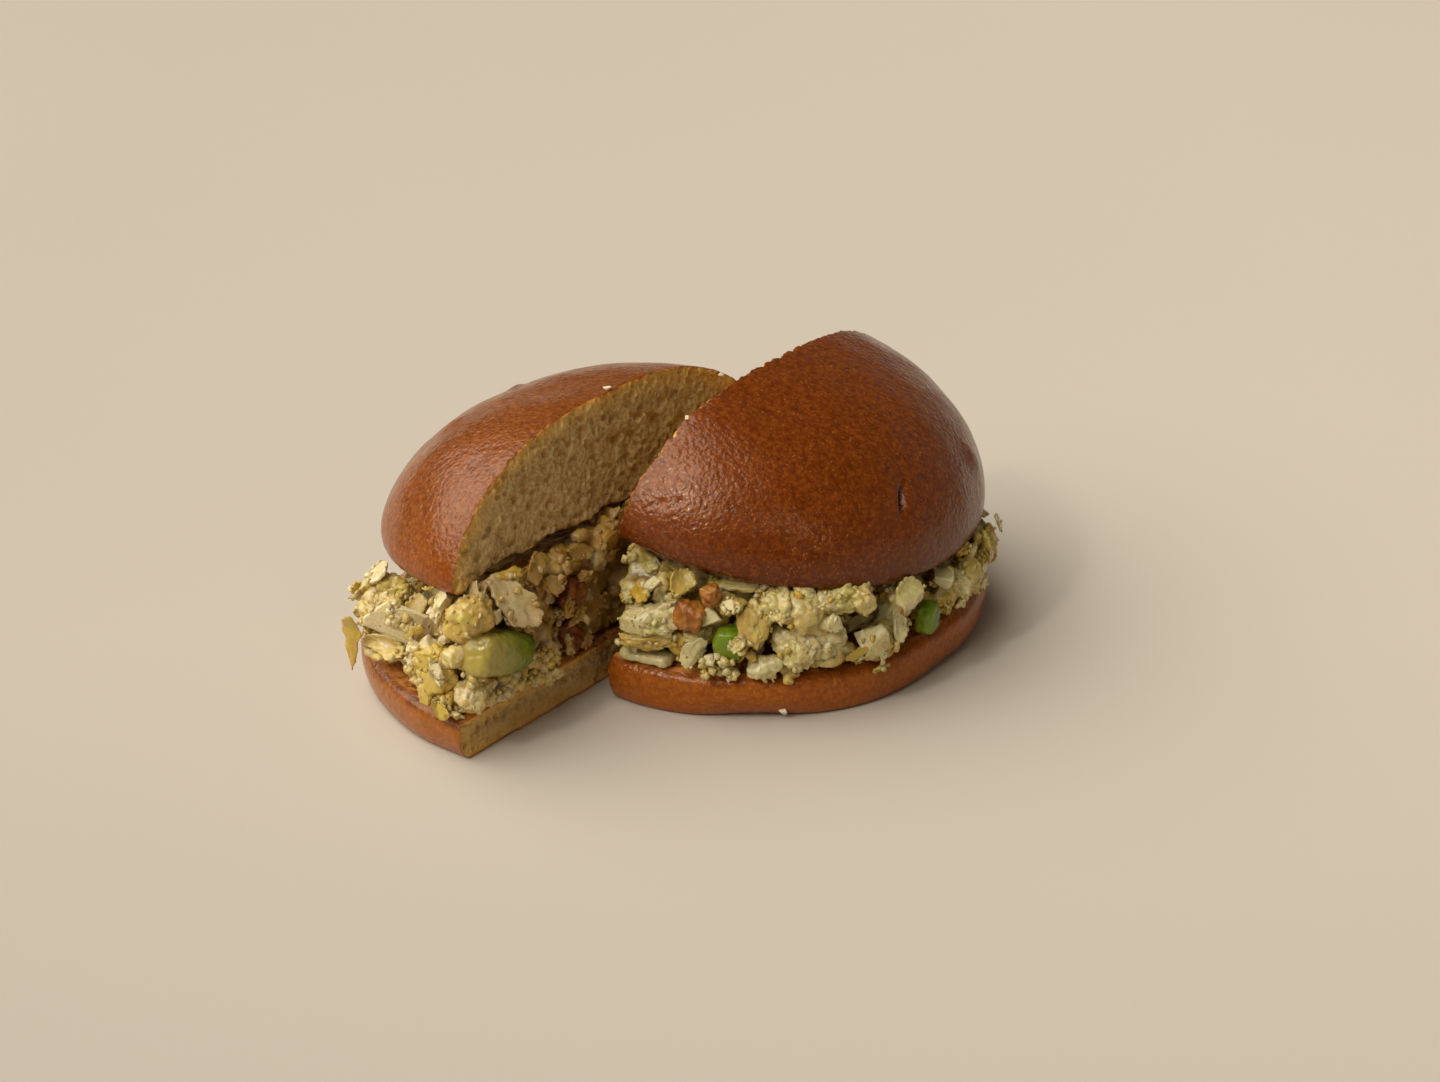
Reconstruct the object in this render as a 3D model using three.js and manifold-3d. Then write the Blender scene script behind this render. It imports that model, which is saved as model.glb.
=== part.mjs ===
// Breakfast sandwich on a round glossy bun, cut in two, with the right half slid back along the cut.
// Millimetres, +Z up, +Y along the cut, +X from the left half towards the right half.
// Each half is shaped in a frame of its own, cut at x = 0 and bread towards +x, then turned into place.
import * as THREE from "three";
import { mergeVertices } from "three/addons/utils/BufferGeometryUtils.js";
import Module from "manifold-3d";

const wasm = await Module();
wasm.setup();

const CLEAR = 0.35;
const CRUST_STEPS = 40;
const CRUMB_CELL = 5.6;
const BASE_SQUARE = 2.12;
const KNIFE_REACH = 1.1;

const HALVES = {
  left: {
    at: [-0.1, -20.6],
    turn: 178.36,
    seed: 11,
    spillsFrom: 17,
    crown: {
      halfChord: 55.6, depth: 52.2, lip: 38.9, rise: 29.7, round: 2.73, dome: 1.52,
      tiltOut: 5.7, tiltAlong: -0.7, shift: [2.3, -0.4],
    },
    base: {
      height: 10, halfChord: 57.9, depth: 62.8, inset: 1.9,
      dents: [{ angle: 92, wide: 12, inset: 0.9 }],
    },
    heap: { depth: 52, chord: 52.5 },
    marks: [
      { at: [35, 18, 58], reach: 3.4, push: 1.3 },
      { at: [40, 16, 55], reach: 2.6, push: -0.9 },
      { at: [30, 31, 58], reach: 9, push: 0.7 },
    ],
    holes: [
      { y: -2.5, z: 56.3, size: 2.4 },
      { y: 0.5, z: 63, size: 1.8 },
      { y: -6, z: 51, size: 1.9 },
      { y: -17, z: 56.5, size: 2.4 },
      { y: -12, z: 61, size: 1.7 },
      { y: 14, z: 50, size: 1.5 },
    ],
  },
  right: {
    at: [4.5, 21.6],
    turn: 1.64,
    seed: 29,
    spillsFrom: 100,
    crown: {
      halfChord: 54.9, depth: 55.3, lip: 38.1, rise: 30.3, round: 2.72, dome: 1.8,
      tiltOut: 11.7, tiltAlong: 2.8, shift: [1.3, -0.3],
    },
    base: {
      height: 10.8, halfChord: 57.8, depth: 55.9, inset: 1.5,
      dents: [
        { angle: -92, wide: 7, inset: 1.4 },
        { angle: -54, wide: 13, inset: 3.4 },
        { angle: 5, wide: 16, inset: 1.2 },
      ],
    },
    heap: { depth: 52, chord: 54.5 },
    marks: [
      { at: [51.4, -13.7, 47.6], reach: 2.4, push: -1.7 },
      { at: [50, 26, 44], reach: 4, push: 0.9 },
      { at: [3, -14, 66], reach: 2.5, push: -1.5 },
    ],
    holes: [
      { y: 6, z: 58, size: 2.6 },
      { y: 18, z: 54, size: 2.2 },
      { y: 30, z: 50, size: 1.8 },
      { y: -12, z: 60, size: 2.4 },
      { y: 24, z: 44, size: 1.7 },
    ],
  },
};

// Egg curds that show by themselves: centre, half sizes, turns about x, y and z in degrees.
const CURDS = {
  left: [
    { at: [-0.2, 38.2, 33.2], size: [3.6, 4.6, 9], turn: [-32, 0, 8] },
    { at: [1.6, 51, 33.6], size: [5.4, 5.8, 6.4], turn: [10, 0, 0] },
    { at: [9.4, 55.4, 22.5], size: [6, 4.4, 6], turn: [0, 20, 0] },
    { at: [10.6, 55.6, 15.6], size: [4, 3.6, 4.8], turn: [8, 0, 10] },
    { at: [5.4, 55.6, 12.8], size: [2.6, 2.6, 3.6], turn: [0, 0, 0] },
    { at: [0.4, 53.2, 15.8], size: [3.9, 4, 4.8], turn: [0, 0, 20] },
    { at: [0.6, 43.6, 15.2], size: [4.2, 7, 3.8], turn: [0, 0, 0] },
    { at: [1, 31, 17.6], size: [4.4, 6, 5.8], turn: [0, 0, 0] },
    { at: [2.6, 24, 34.6], size: [4.2, 5.6, 4], turn: [20, 0, 0] },
    { at: [2.6, 6, 34], size: [4, 5.6, 5.4], turn: [-14, 0, 0] },
    { at: [3, -6, 35.6], size: [4.4, 5, 4], turn: [0, 0, 0] },
    { at: [27, 49.4, 24.8], size: [10.2, 5.2, 3.8], turn: [22, 14, -22] },
    { at: [29.4, 46.4, 30.2], size: [6.2, 4.6, 3.8], turn: [0, 0, -30] },
    { at: [35.6, 46, 24.6], size: [4.6, 5.4, 4.8], turn: [0, 0, 0] },
    { at: [32, 48.6, 14.8], size: [8.6, 6.2, 2.9], turn: [0, 4, -32] },
    { at: [31, 43.6, 18], size: [7.4, 6.4, 6], turn: [0, 0, 0] },
    { at: [41, 40, 19.4], size: [5, 6, 6], turn: [0, 0, 0] },
    { at: [9, 52.6, 35.6], size: [3.8, 3, 2.6], turn: [0, 10, 0] },
    { at: [19, 51.6, 16.6], size: [5, 4, 4.2], turn: [0, 0, 0] },
  ],
  right: [
    { at: [9, -54, 20], size: [7.2, 5.8, 5.6], turn: [0, 12, 8] },
    { at: [5, -50.5, 28.5], size: [5, 5, 4.6], turn: [0, 0, 0] },
    { at: [13.5, -50.5, 31.6], size: [5.4, 4.4, 3.6], turn: [0, 24, 0] },
    { at: [18, -49.4, 18.8], size: [5, 4.6, 5], turn: [0, 0, 0] },
    { at: [31.6, -44.6, 23.6], size: [3.7, 3.6, 6.2], turn: [0, 14, 0] },
    { at: [37, -40, 29.4], size: [5.2, 5, 4.4], turn: [0, 0, 30] },
    { at: [41.4, -36.4, 24], size: [6, 5.4, 5.2], turn: [0, 0, 0] },
    { at: [45, -30.5, 28.4], size: [5.2, 5, 4], turn: [0, 0, 0] },
    { at: [34, -45, 14.6], size: [4.2, 3.6, 4.4], turn: [0, 0, 20] },
    { at: [39, -40.6, 14.4], size: [3.6, 3.4, 4.8], turn: [10, 0, 0] },
    { at: [45.4, -33.6, 15.4], size: [7, 4.8, 4.8], turn: [0, 0, 52] },
    { at: [50.6, -23, 15.4], size: [4.6, 5.4, 5.4], turn: [0, 0, 0] },
    { at: [53, -15, 17], size: [2.6, 3, 5.6], turn: [14, 0, 0] },
    { at: [52, -14.5, 24.4], size: [3.4, 5.2, 4.6], turn: [0, 20, 0] },
    { at: [54, 3, 18.6], size: [4.2, 5.4, 5.4], turn: [0, 0, 0] },
    { at: [54.2, 12, 20], size: [4.6, 5, 5.6], turn: [0, 0, 0] },
    { at: [51.2, 14.5, 26.4], size: [4.8, 5.4, 4.4], turn: [0, 0, 20] },
    { at: [47, 26.5, 21.6], size: [5, 5.6, 6.2], turn: [0, 0, 30] },
    { at: [27, -47, 29.6], size: [6.4, 3.4, 2.3], turn: [0, 0, 20] },
  ],
};

// Larger pieces that lie in the egg, each a solid of its own.
const PIECES = {
  left: [
    {
      name: "left_avocado_chunk", color: 0x97963f, soft: 0.55,
      at: [-1.4, 45.6, 24], size: [4.6, 11.4, 4.9], turn: [20, 0, 4],
    },
    {
      name: "left_tomato_upper", color: 0x8a3a1e, soft: 0.4,
      at: [0.8, 18.6, 27], size: [2.4, 3.5, 3.7], turn: [14, 0, 0],
    },
    {
      name: "left_tomato_lower", color: 0x8a3a1e, soft: 0.4,
      at: [0.8, 19, 15.8], size: [2.4, 2.6, 3.8], turn: [-24, 0, 0],
    },
    {
      name: "left_hanging_sliver", color: 0xb59a3c, soft: 0.3,
      at: [35.8, 54.4, 18], size: [2.1, 1, 6.6], turn: [4, 6, -40],
    },
  ],
  right: [
    {
      name: "right_egg_slab", color: 0xb9a577, soft: 0.3,
      at: [8.8, -53.4, 13], size: [6.4, 3.5, 1.35], turn: [0, 0, 8],
    },
    {
      name: "right_tomato_lower", color: 0x9c4a22, soft: 0.4,
      at: [20.2, -53, 26], size: [3.5, 2.8, 3.1], turn: [0, 18, 24],
    },
    {
      name: "right_tomato_upper", color: 0x9c4a22, soft: 0.4,
      at: [24.2, -50.6, 31.4], size: [2.2, 2.3, 2.4], turn: [0, 0, 20],
    },
    {
      name: "right_avocado_front", color: 0x5f7a1d, soft: 0.45,
      at: [27.4, -48, 19.4], size: [3.4, 3, 3.8], turn: [0, 8, 30],
    },
    {
      name: "right_avocado_side", color: 0x4f6a1a, soft: 0.4,
      at: [55, -7.6, 16.6], size: [2.4, 2.8, 3.7], turn: [0, 0, 8],
    },
  ],
};

const COLORS = { crust: 0x7d3d14, crustPale: 0x92501f, egg: 0xb59d5a };

function hash(ix, iy, iz, seed) {
  let h = Math.imul(ix, 374761393) + Math.imul(iy, 668265263);
  h += Math.imul(iz, 1440662683) + Math.imul(seed, 974634777);
  h = Math.imul(h ^ (h >>> 13), 1274126177);
  h = Math.imul(h ^ (h >>> 15), 2246822519);
  return ((h ^ (h >>> 16)) >>> 0) / 4294967295;
}

// Smooth noise between -1 and 1 with one wave for each unit of length.
function noise(x, y, z, seed) {
  const cell = [Math.floor(x), Math.floor(y), Math.floor(z)];
  const part = [x - cell[0], y - cell[1], z - cell[2]].map((t) => t * t * (3 - 2 * t));
  let sum = 0;
  for (let corner = 0; corner < 8; corner++) {
    const step = [corner & 1, (corner >> 1) & 1, (corner >> 2) & 1];
    const weight = step.reduce((w, s, k) => w * (s ? part[k] : 1 - part[k]), 1);
    sum += weight * hash(cell[0] + step[0], cell[1] + step[1], cell[2] + step[2], seed);
  }
  return sum * 2 - 1;
}

function randomFrom(seed) {
  let count = 0;
  return () => hash(++count, 7, 3, seed);
}

const radians = (degrees) => (degrees * Math.PI) / 180;

function bare(geometry) {
  geometry.deleteAttribute("normal");
  geometry.deleteAttribute("uv");
  return mergeVertices(geometry, 1e-5);
}

function bendEach(geometry, change) {
  const points = geometry.attributes.position;
  for (let i = 0; i < points.count; i++) {
    const moved = change(points.getX(i), points.getY(i), points.getZ(i));
    points.setXYZ(i, moved[0], moved[1], moved[2]);
  }
  return geometry;
}

function turned(geometry, turn) {
  const angles = new THREE.Euler(...turn.map(radians), "XYZ");
  return geometry.applyMatrix4(new THREE.Matrix4().makeRotationFromEuler(angles));
}

// A closed body from rows of points round an upright axis; its first and last rows are single points.
function rowBody(rows, steps, pointAt) {
  const positions = [...pointAt(rows[0], 0)];
  const index = [];
  for (let i = 1; i < rows.length - 1; i++) {
    for (let j = 0; j < steps; j++) {
      positions.push(...pointAt(rows[i], (j / steps) * 2 * Math.PI));
    }
  }
  positions.push(...pointAt(rows[rows.length - 1], 0));
  const last = positions.length / 3 - 1;
  for (let j = 0; j < steps; j++) {
    const next = (j + 1) % steps;
    index.push(0, 1 + j, 1 + next);
    for (let i = 0; i < rows.length - 3; i++) {
      const upper = 1 + i * steps;
      const lower = upper + steps;
      index.push(upper + j, lower + j, lower + next);
      index.push(upper + j, lower + next, upper + next);
    }
    index.push(last, 1 + (rows.length - 3) * steps + next, 1 + (rows.length - 3) * steps + j);
  }
  const geometry = new THREE.BufferGeometry();
  geometry.setAttribute("position", new THREE.Float32BufferAttribute(positions, 3));
  geometry.setIndex(index);
  return geometry;
}

function toSolid(geometry) {
  const mesh = new wasm.Mesh({
    numProp: 3,
    vertProperties: new Float32Array(geometry.attributes.position.array),
    triVerts: new Uint32Array(geometry.index.array),
  });
  return new wasm.Manifold(mesh);
}

// The largest closed body of a solid; scraps and sealed hollows left by fusing are dropped.
function toGeometry(solid) {
  const mesh = solid.getMesh();
  const triangles = mesh.triVerts;
  const points = mesh.vertProperties;
  const owner = Array.from({ length: points.length / 3 }, (_, i) => i);
  const rootOf = (i) => {
    while (owner[i] !== i) {
      owner[i] = owner[owner[i]];
      i = owner[i];
    }
    return i;
  };
  for (let t = 0; t < triangles.length; t += 3) {
    owner[rootOf(triangles[t])] = rootOf(triangles[t + 1]);
    owner[rootOf(triangles[t + 1])] = rootOf(triangles[t + 2]);
  }
  const volume = new Map();
  const corner = (v) => new THREE.Vector3(points[v * 3], points[v * 3 + 1], points[v * 3 + 2]);
  for (let t = 0; t < triangles.length; t += 3) {
    const [a, b, c] = [corner(triangles[t]), corner(triangles[t + 1]), corner(triangles[t + 2])];
    const root = rootOf(triangles[t]);
    volume.set(root, (volume.get(root) || 0) + a.dot(b.cross(c)) / 6);
  }
  const keep = [...volume.entries()].sort((a, b) => b[1] - a[1])[0][0];
  const index = [];
  for (let t = 0; t < triangles.length; t += 3) {
    if (rootOf(triangles[t]) === keep) {
      index.push(triangles[t], triangles[t + 1], triangles[t + 2]);
    }
  }
  const geometry = new THREE.BufferGeometry();
  geometry.setAttribute("position", new THREE.Float32BufferAttribute(Array.from(points), 3));
  geometry.setIndex(index);
  return geometry;
}

// The waste side of the cut: a block whose face is uneven like torn crumb.
function cutBlock(seed, back, tall, relief) {
  const wide = 150;
  const cells = [wide, tall].map((length) => Math.round(length / CRUMB_CELL));
  const block = new THREE.BoxGeometry(back, wide, tall, 1, ...cells);
  block.translate(-back / 2, 0, tall / 2 - 6);
  return bendEach(bare(block), (x, y, z) => {
    const uneven = x > -0.001 ? relief * noise(y / 4.1, z / 4.1, 0.5, seed) : 0;
    return [x + uneven, y, z];
  });
}

// Turns a crown about its lip, as it leans on the egg, and shifts it.
function leanCrown(crown, x, y, z) {
  const out = radians(crown.tiltOut);
  const along = radians(crown.tiltAlong);
  const x1 = Math.cos(out) * x + Math.sin(out) * z;
  const z1 = -Math.sin(out) * x + Math.cos(out) * z;
  const y1 = Math.cos(along) * y + Math.sin(along) * z1;
  const z2 = -Math.sin(along) * y + Math.cos(along) * z1;
  return [x1 + crown.shift[0], y1 + crown.shift[1], z2 + crown.lip];
}

// Rows of a crown: how far out from 0 to 1, and the height above its lip.
function crownRows(crown, grow) {
  const rows = [];
  const bulge = 3;
  const count = 12;
  for (let i = 0; i <= count; i++) {
    const phi = (Math.PI / 2) * (1 - i / count) ** 0.82;
    const out = Math.max(Math.cos(phi), 0) ** (2 / crown.round);
    rows.push({ out, z: bulge + (crown.rise - bulge) * Math.sin(phi) ** (2 / crown.dome), under: 0 });
  }
  rows.push({ out: 0.988, z: 1, under: 0.4 });
  rows.push({ out: 0.95, z: 0, under: 0.8 });
  rows.push({ out: 0.9, z: 1.2, under: 1 });
  for (const out of [0.76, 0.6, 0.42, 0.22, 0]) {
    rows.push({ out, z: 2.4, under: 1 });
  }
  if (grow) {
    for (const row of rows) {
      row.z += row.under > 0.3 ? -grow : grow;
    }
  }
  return rows;
}

function crownShape(half, grow) {
  const { crown, seed, marks } = half;
  return rowBody(crownRows(crown, grow), CRUST_STEPS, (row, angle) => {
    const wander = 0.012 * noise(Math.cos(angle) * 1.6, Math.sin(angle) * 1.6, row.z / 30, seed);
    const spread = row.out * (1 + wander);
    const x = (crown.depth + grow) * spread * Math.cos(angle);
    const y = (crown.halfChord + grow) * spread * Math.sin(angle);
    const broad = 0.7 * noise(x / 19, y / 19, row.z / 19, seed + 1);
    const swell = broad + 0.3 * noise(x / 8, y / 8, row.z / 8, seed + 2);
    const torn = row.under * 0.9 * noise(x / 6.5, y / 6.5, 0, seed + 3);
    let point = leanCrown(crown, x, y, row.z + (row.under > 0.3 ? torn : swell));
    for (const mark of marks) {
      const away = Math.hypot(point[0] - mark.at[0], point[1] - mark.at[1], point[2] - mark.at[2]);
      const push = mark.push * Math.exp(-((away / mark.reach) ** 2)) * (1 - Math.min(row.under * 2, 1));
      const outward = new THREE.Vector3(point[0], point[1], point[2] - crown.lip + 12).normalize();
      point = [point[0] + outward.x * push, point[1] + outward.y * push, point[2] + outward.z * push];
    }
    return point;
  });
}

function crownCut(half, relief) {
  const { crown, seed } = half;
  const block = cutBlock(seed + 4, 90, 52, relief);
  return bendEach(block, (x, y, z) => leanCrown(crown, x, y, z - 3));
}

function makeCrown(half) {
  let solid = toSolid(crownShape(half, 0)).subtract(toSolid(crownCut(half, 0.5)));
  for (const hole of half.holes) {
    const lean = Math.sin(radians(half.crown.tiltOut)) * (hole.z - half.crown.lip);
    const pit = bare(new THREE.IcosahedronGeometry(hole.size, 1));
    pit.scale(0.75, 1.15, 0.9);
    pit.translate(half.crown.shift[0] + lean - 0.2 * hole.size, hole.y, hole.z);
    solid = solid.subtract(toSolid(pit));
  }
  return solid;
}

// Rows of a base from the middle of its toasted face over the rim and down to the flat underside.
function baseRows(height, grow) {
  const rows = [];
  for (const out of [0, 0.35, 0.65, 0.88]) {
    rows.push({ out, inset: 0, tuck: 0, z: height + 0.3 + grow, rough: 1 });
  }
  rows.push({ out: 1, inset: 2, tuck: 0, z: height + grow, rough: 0.5 });
  rows.push({ out: 1, inset: 0.4, tuck: 0, z: height - 1.1 + grow, rough: 0 });
  for (const fall of [0, 0.3, 0.6, 0.85, 1]) {
    rows.push({ out: 1, inset: 0, tuck: fall ** 2.4, z: (height - 3) * (1 - fall), rough: 0 });
  }
  rows.push({ out: 0.5, inset: 0, tuck: 0, z: 0, rough: 0 });
  rows.push({ out: 0, inset: 0, tuck: 0, z: 0, rough: 0 });
  return rows;
}

// Reach of a slightly squared oval at an angle from the outward axis.
function ovalReach(depth, halfChord, angle) {
  const across = Math.abs(Math.cos(angle) / depth) ** BASE_SQUARE;
  const along = Math.abs(Math.sin(angle) / halfChord) ** BASE_SQUARE;
  return (across + along) ** (-1 / BASE_SQUARE);
}

function baseShape(half, grow) {
  const { base, seed } = half;
  return rowBody(baseRows(base.height, grow), CRUST_STEPS, (row, angle) => {
    let reach = ovalReach(base.depth, base.halfChord, angle) * row.out;
    if (row.out === 1) {
      const ripple = 0.7 * noise(Math.cos(angle) * 3.4, Math.sin(angle) * 3.4, 0.3, seed + 6);
      let tuck = base.inset;
      for (const dent of base.dents) {
        const turn = angle - radians(dent.angle);
        const away = Math.atan2(Math.sin(turn), Math.cos(turn));
        tuck += dent.inset * Math.exp(-((away / radians(dent.wide)) ** 2));
      }
      reach += ripple + grow - row.inset - tuck * row.tuck;
    }
    const x = reach * Math.cos(angle);
    const y = reach * Math.sin(angle);
    return [x, y, row.z + row.rough * 0.55 * noise(x / 7, y / 7, 0, seed + 7)];
  });
}

function makeBase(half) {
  const block = cutBlock(half.seed + 8, 90, 30, 0.4);
  return toSolid(baseShape(half, 0)).subtract(toSolid(block));
}

// One curd: a ball pulled to size, made uneven, turned and set in place.
function curd(at, size, turn, seed, rough = 0.22) {
  const large = Math.max(...size) > 6;
  const ball = bare(large ? new THREE.IcosahedronGeometry(1, 1) : new THREE.OctahedronGeometry(1.12, 1));
  bendEach(ball, (x, y, z) => {
    const coarse = rough * noise(x * 1.7 + seed, y * 1.7, z * 1.7, seed);
    const fine = 0.5 * rough * noise(x * 3.3, y * 3.3, z * 3.3, seed + 1);
    const grow = 1 + coarse + fine;
    return [x * grow * size[0], y * grow * size[1], z * grow * size[2]];
  });
  return turned(ball, turn).translate(...at);
}

// A cut piece with soft edges, a little uneven.
function dice(piece, seed, grow) {
  const long = piece.size[1] > 8;
  const block = bare(new THREE.BoxGeometry(2, 2, 2, 2, long ? 4 : 2, 2));
  bendEach(block, (x, y, z) => {
    const pull = piece.soft / Math.hypot(x, y, z) + (1 - piece.soft);
    const uneven = 1 + 0.1 * noise(x * 1.4 + seed, y * 1.4, z * 1.4, seed);
    const slim = long ? 1 + 0.14 * y : 1;
    const [a, b, c] = piece.size.map((s) => s * uneven * 1.1 * pull);
    return [x * slim * (a + grow), y * (b + grow), z * slim * (c + grow)];
  });
  return turned(block, piece.turn).translate(...piece.at);
}

// Height of a crown's underside over a point of the half.
function undersideAt(crown, x, y) {
  const out = Math.tan(radians(crown.tiltOut));
  const along = Math.tan(radians(crown.tiltAlong));
  return crown.lip - (x - crown.shift[0]) * out - (y - crown.shift[1]) * along;
}

function heapCore(half) {
  const { heap, crown, base, seed } = half;
  const rows = [
    { out: 0, level: 1 }, { out: 0.3, level: 1 }, { out: 0.58, level: 1 }, { out: 0.82, level: 1 },
    { out: 0.95, level: 0.95 }, { out: 1, level: 0.66 }, { out: 1, level: 0.36 }, { out: 0.96, level: 0.08 },
    { out: 0.75, level: 0 }, { out: 0, level: 0 },
  ];
  return rowBody(rows, 36, (row, angle) => {
    const bump = 2.6 * noise(Math.cos(angle) * 8, Math.sin(angle) * 8, row.level * 2.6, seed + 9);
    const reach = row.out + (row.out > 0.8 ? bump / heap.depth : 0);
    const x = (heap.depth - 2.6) * reach * Math.cos(angle);
    const y = (heap.chord - 1.6) * reach * Math.sin(angle);
    const low = base.height + 1.1;
    const lumpy = row.level > 0.9 ? 1.4 * noise(x / 7, y / 7, 0.5, seed + 10) : 0;
    const high = undersideAt(crown, x, y) - (row.out > 0.9 ? 2.4 : 1.6) + lumpy;
    return [x, y, low + (high - low) * row.level];
  });
}

function makeHeap(half, name) {
  const { heap, crown, base, seed } = half;
  const pick = randomFrom(seed + 40);
  let solid = toSolid(heapCore(half));
  const face = cutBlock(seed + 12, 90, 60, 1);
  solid = solid.subtract(toSolid(bendEach(face, (x, y, z) => [x + crown.shift[0] - 0.4, y, z])));
  const add = (at, size, turn) => {
    solid = solid.add(toSolid(curd(at, size, turn, Math.floor(pick() * 9999))));
  };
  const taken = (at) => CURDS[name].some((one) => Math.hypot(...one.at.map((v, k) => v - at[k])) < 8);
  for (const one of CURDS[name]) {
    add(one.at, one.size, one.turn);
  }
  // Curds round the outside between the breads.
  const round = 15;
  for (let i = 0; i < round; i++) {
    const angle = radians(-84 + (168 * (i + 0.5 * pick())) / round);
    const size = 3.8 + 2.2 * pick();
    const reach = 0.93 + 0.05 * pick();
    const x = heap.depth * reach * Math.cos(angle);
    const y = heap.chord * reach * Math.sin(angle);
    const low = base.height + size * 0.7;
    const high = undersideAt(crown, x, y) - size * 0.6;
    const level = i % 2 ? 0.15 + 0.25 * pick() : 0.65 + 0.3 * pick();
    const at = [x, y, low + (high - low) * level];
    const turn = [90 * pick(), 0, 90 * pick()];
    if (!taken(at)) {
      add(at, [size, size * (0.8 + 0.4 * pick()), size * 0.85], turn);
    }
  }
  // Curds laid open by the knife.
  const along = 7;
  for (let i = 0; i < along; i++) {
    const y = -46 + (92 * (i + 0.5)) / along + 3 * (pick() - 0.5);
    const size = 3.6 + 1.8 * pick();
    const low = base.height + size * 0.6;
    const high = undersideAt(crown, 0, y) - size * 0.4;
    const level = i % 2 ? 0.2 + 0.2 * pick() : 0.62 + 0.3 * pick();
    const at = [2.4, y, low + (high - low) * level];
    const turn = [90 * pick(), 0, 0];
    if (!taken(at)) {
      add(at, [size * 0.9, size * 1.2, size], turn);
    }
  }
  solid = solid.subtract(toSolid(crownShape(half, CLEAR + 0.05)));
  solid = solid.subtract(toSolid(baseShape(half, CLEAR + 0.05)));
  // Nothing stands past the knife, but for the end where the egg spills out.
  const past = new THREE.BoxGeometry(40, 200, 90);
  past.translate(-20 - KNIFE_REACH, half.spillsFrom - 100, 40);
  solid = solid.subtract(toSolid(bare(past)));
  PIECES[name].forEach((piece, i) => {
    solid = solid.subtract(toSolid(dice(piece, seed + i, CLEAR)));
  });
  return solid;
}

function placed(half, geometry) {
  geometry.rotateZ(radians(half.turn));
  geometry.translate(half.at[0], half.at[1], 0);
  return geometry;
}

const sandwich = new THREE.Group();
sandwich.name = "breakfast_sandwich";

function addPart(name, geometry, color, roughness) {
  const material = new THREE.MeshStandardMaterial({ color, roughness, metalness: 0 });
  const mesh = new THREE.Mesh(geometry, material);
  mesh.name = name;
  sandwich.add(mesh);
}

for (const [name, half] of Object.entries(HALVES)) {
  addPart(`${name}_bottom_bun`, placed(half, toGeometry(makeBase(half))), COLORS.crustPale, 0.5);
  addPart(`${name}_egg_filling`, placed(half, toGeometry(makeHeap(half, name))), COLORS.egg, 0.55);
  PIECES[name].forEach((piece, i) => {
    addPart(piece.name, placed(half, dice(piece, half.seed + i, 0)), piece.color, 0.4);
  });
  addPart(`${name}_top_bun`, placed(half, toGeometry(makeCrown(half))), COLORS.crust, 0.35);
}

export default sandwich;
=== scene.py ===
import math
import random

import bpy
import numpy as np
from mathutils import Euler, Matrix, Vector, noise
from mathutils.kdtree import KDTree


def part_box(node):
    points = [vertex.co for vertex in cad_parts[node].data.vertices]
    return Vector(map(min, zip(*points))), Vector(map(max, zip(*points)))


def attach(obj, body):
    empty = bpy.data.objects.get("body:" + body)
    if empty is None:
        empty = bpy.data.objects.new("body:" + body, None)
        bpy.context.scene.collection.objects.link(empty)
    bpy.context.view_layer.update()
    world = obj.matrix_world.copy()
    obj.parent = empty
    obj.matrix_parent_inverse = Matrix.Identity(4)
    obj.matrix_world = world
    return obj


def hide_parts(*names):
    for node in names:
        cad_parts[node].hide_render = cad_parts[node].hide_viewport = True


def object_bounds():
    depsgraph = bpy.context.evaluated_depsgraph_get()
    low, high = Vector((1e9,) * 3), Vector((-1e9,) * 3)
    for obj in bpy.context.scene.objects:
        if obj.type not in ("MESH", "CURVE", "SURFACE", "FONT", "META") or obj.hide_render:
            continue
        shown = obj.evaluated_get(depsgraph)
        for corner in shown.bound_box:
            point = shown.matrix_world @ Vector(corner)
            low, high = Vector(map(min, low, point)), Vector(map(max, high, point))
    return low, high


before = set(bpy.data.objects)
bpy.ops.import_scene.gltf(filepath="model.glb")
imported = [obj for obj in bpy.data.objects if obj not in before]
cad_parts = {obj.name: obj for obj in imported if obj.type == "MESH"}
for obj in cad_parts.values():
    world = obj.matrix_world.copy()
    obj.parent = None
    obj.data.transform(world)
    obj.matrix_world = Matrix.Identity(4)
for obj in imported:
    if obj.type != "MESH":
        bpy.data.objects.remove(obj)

CAD_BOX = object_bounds()
MM = 0.001

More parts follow.
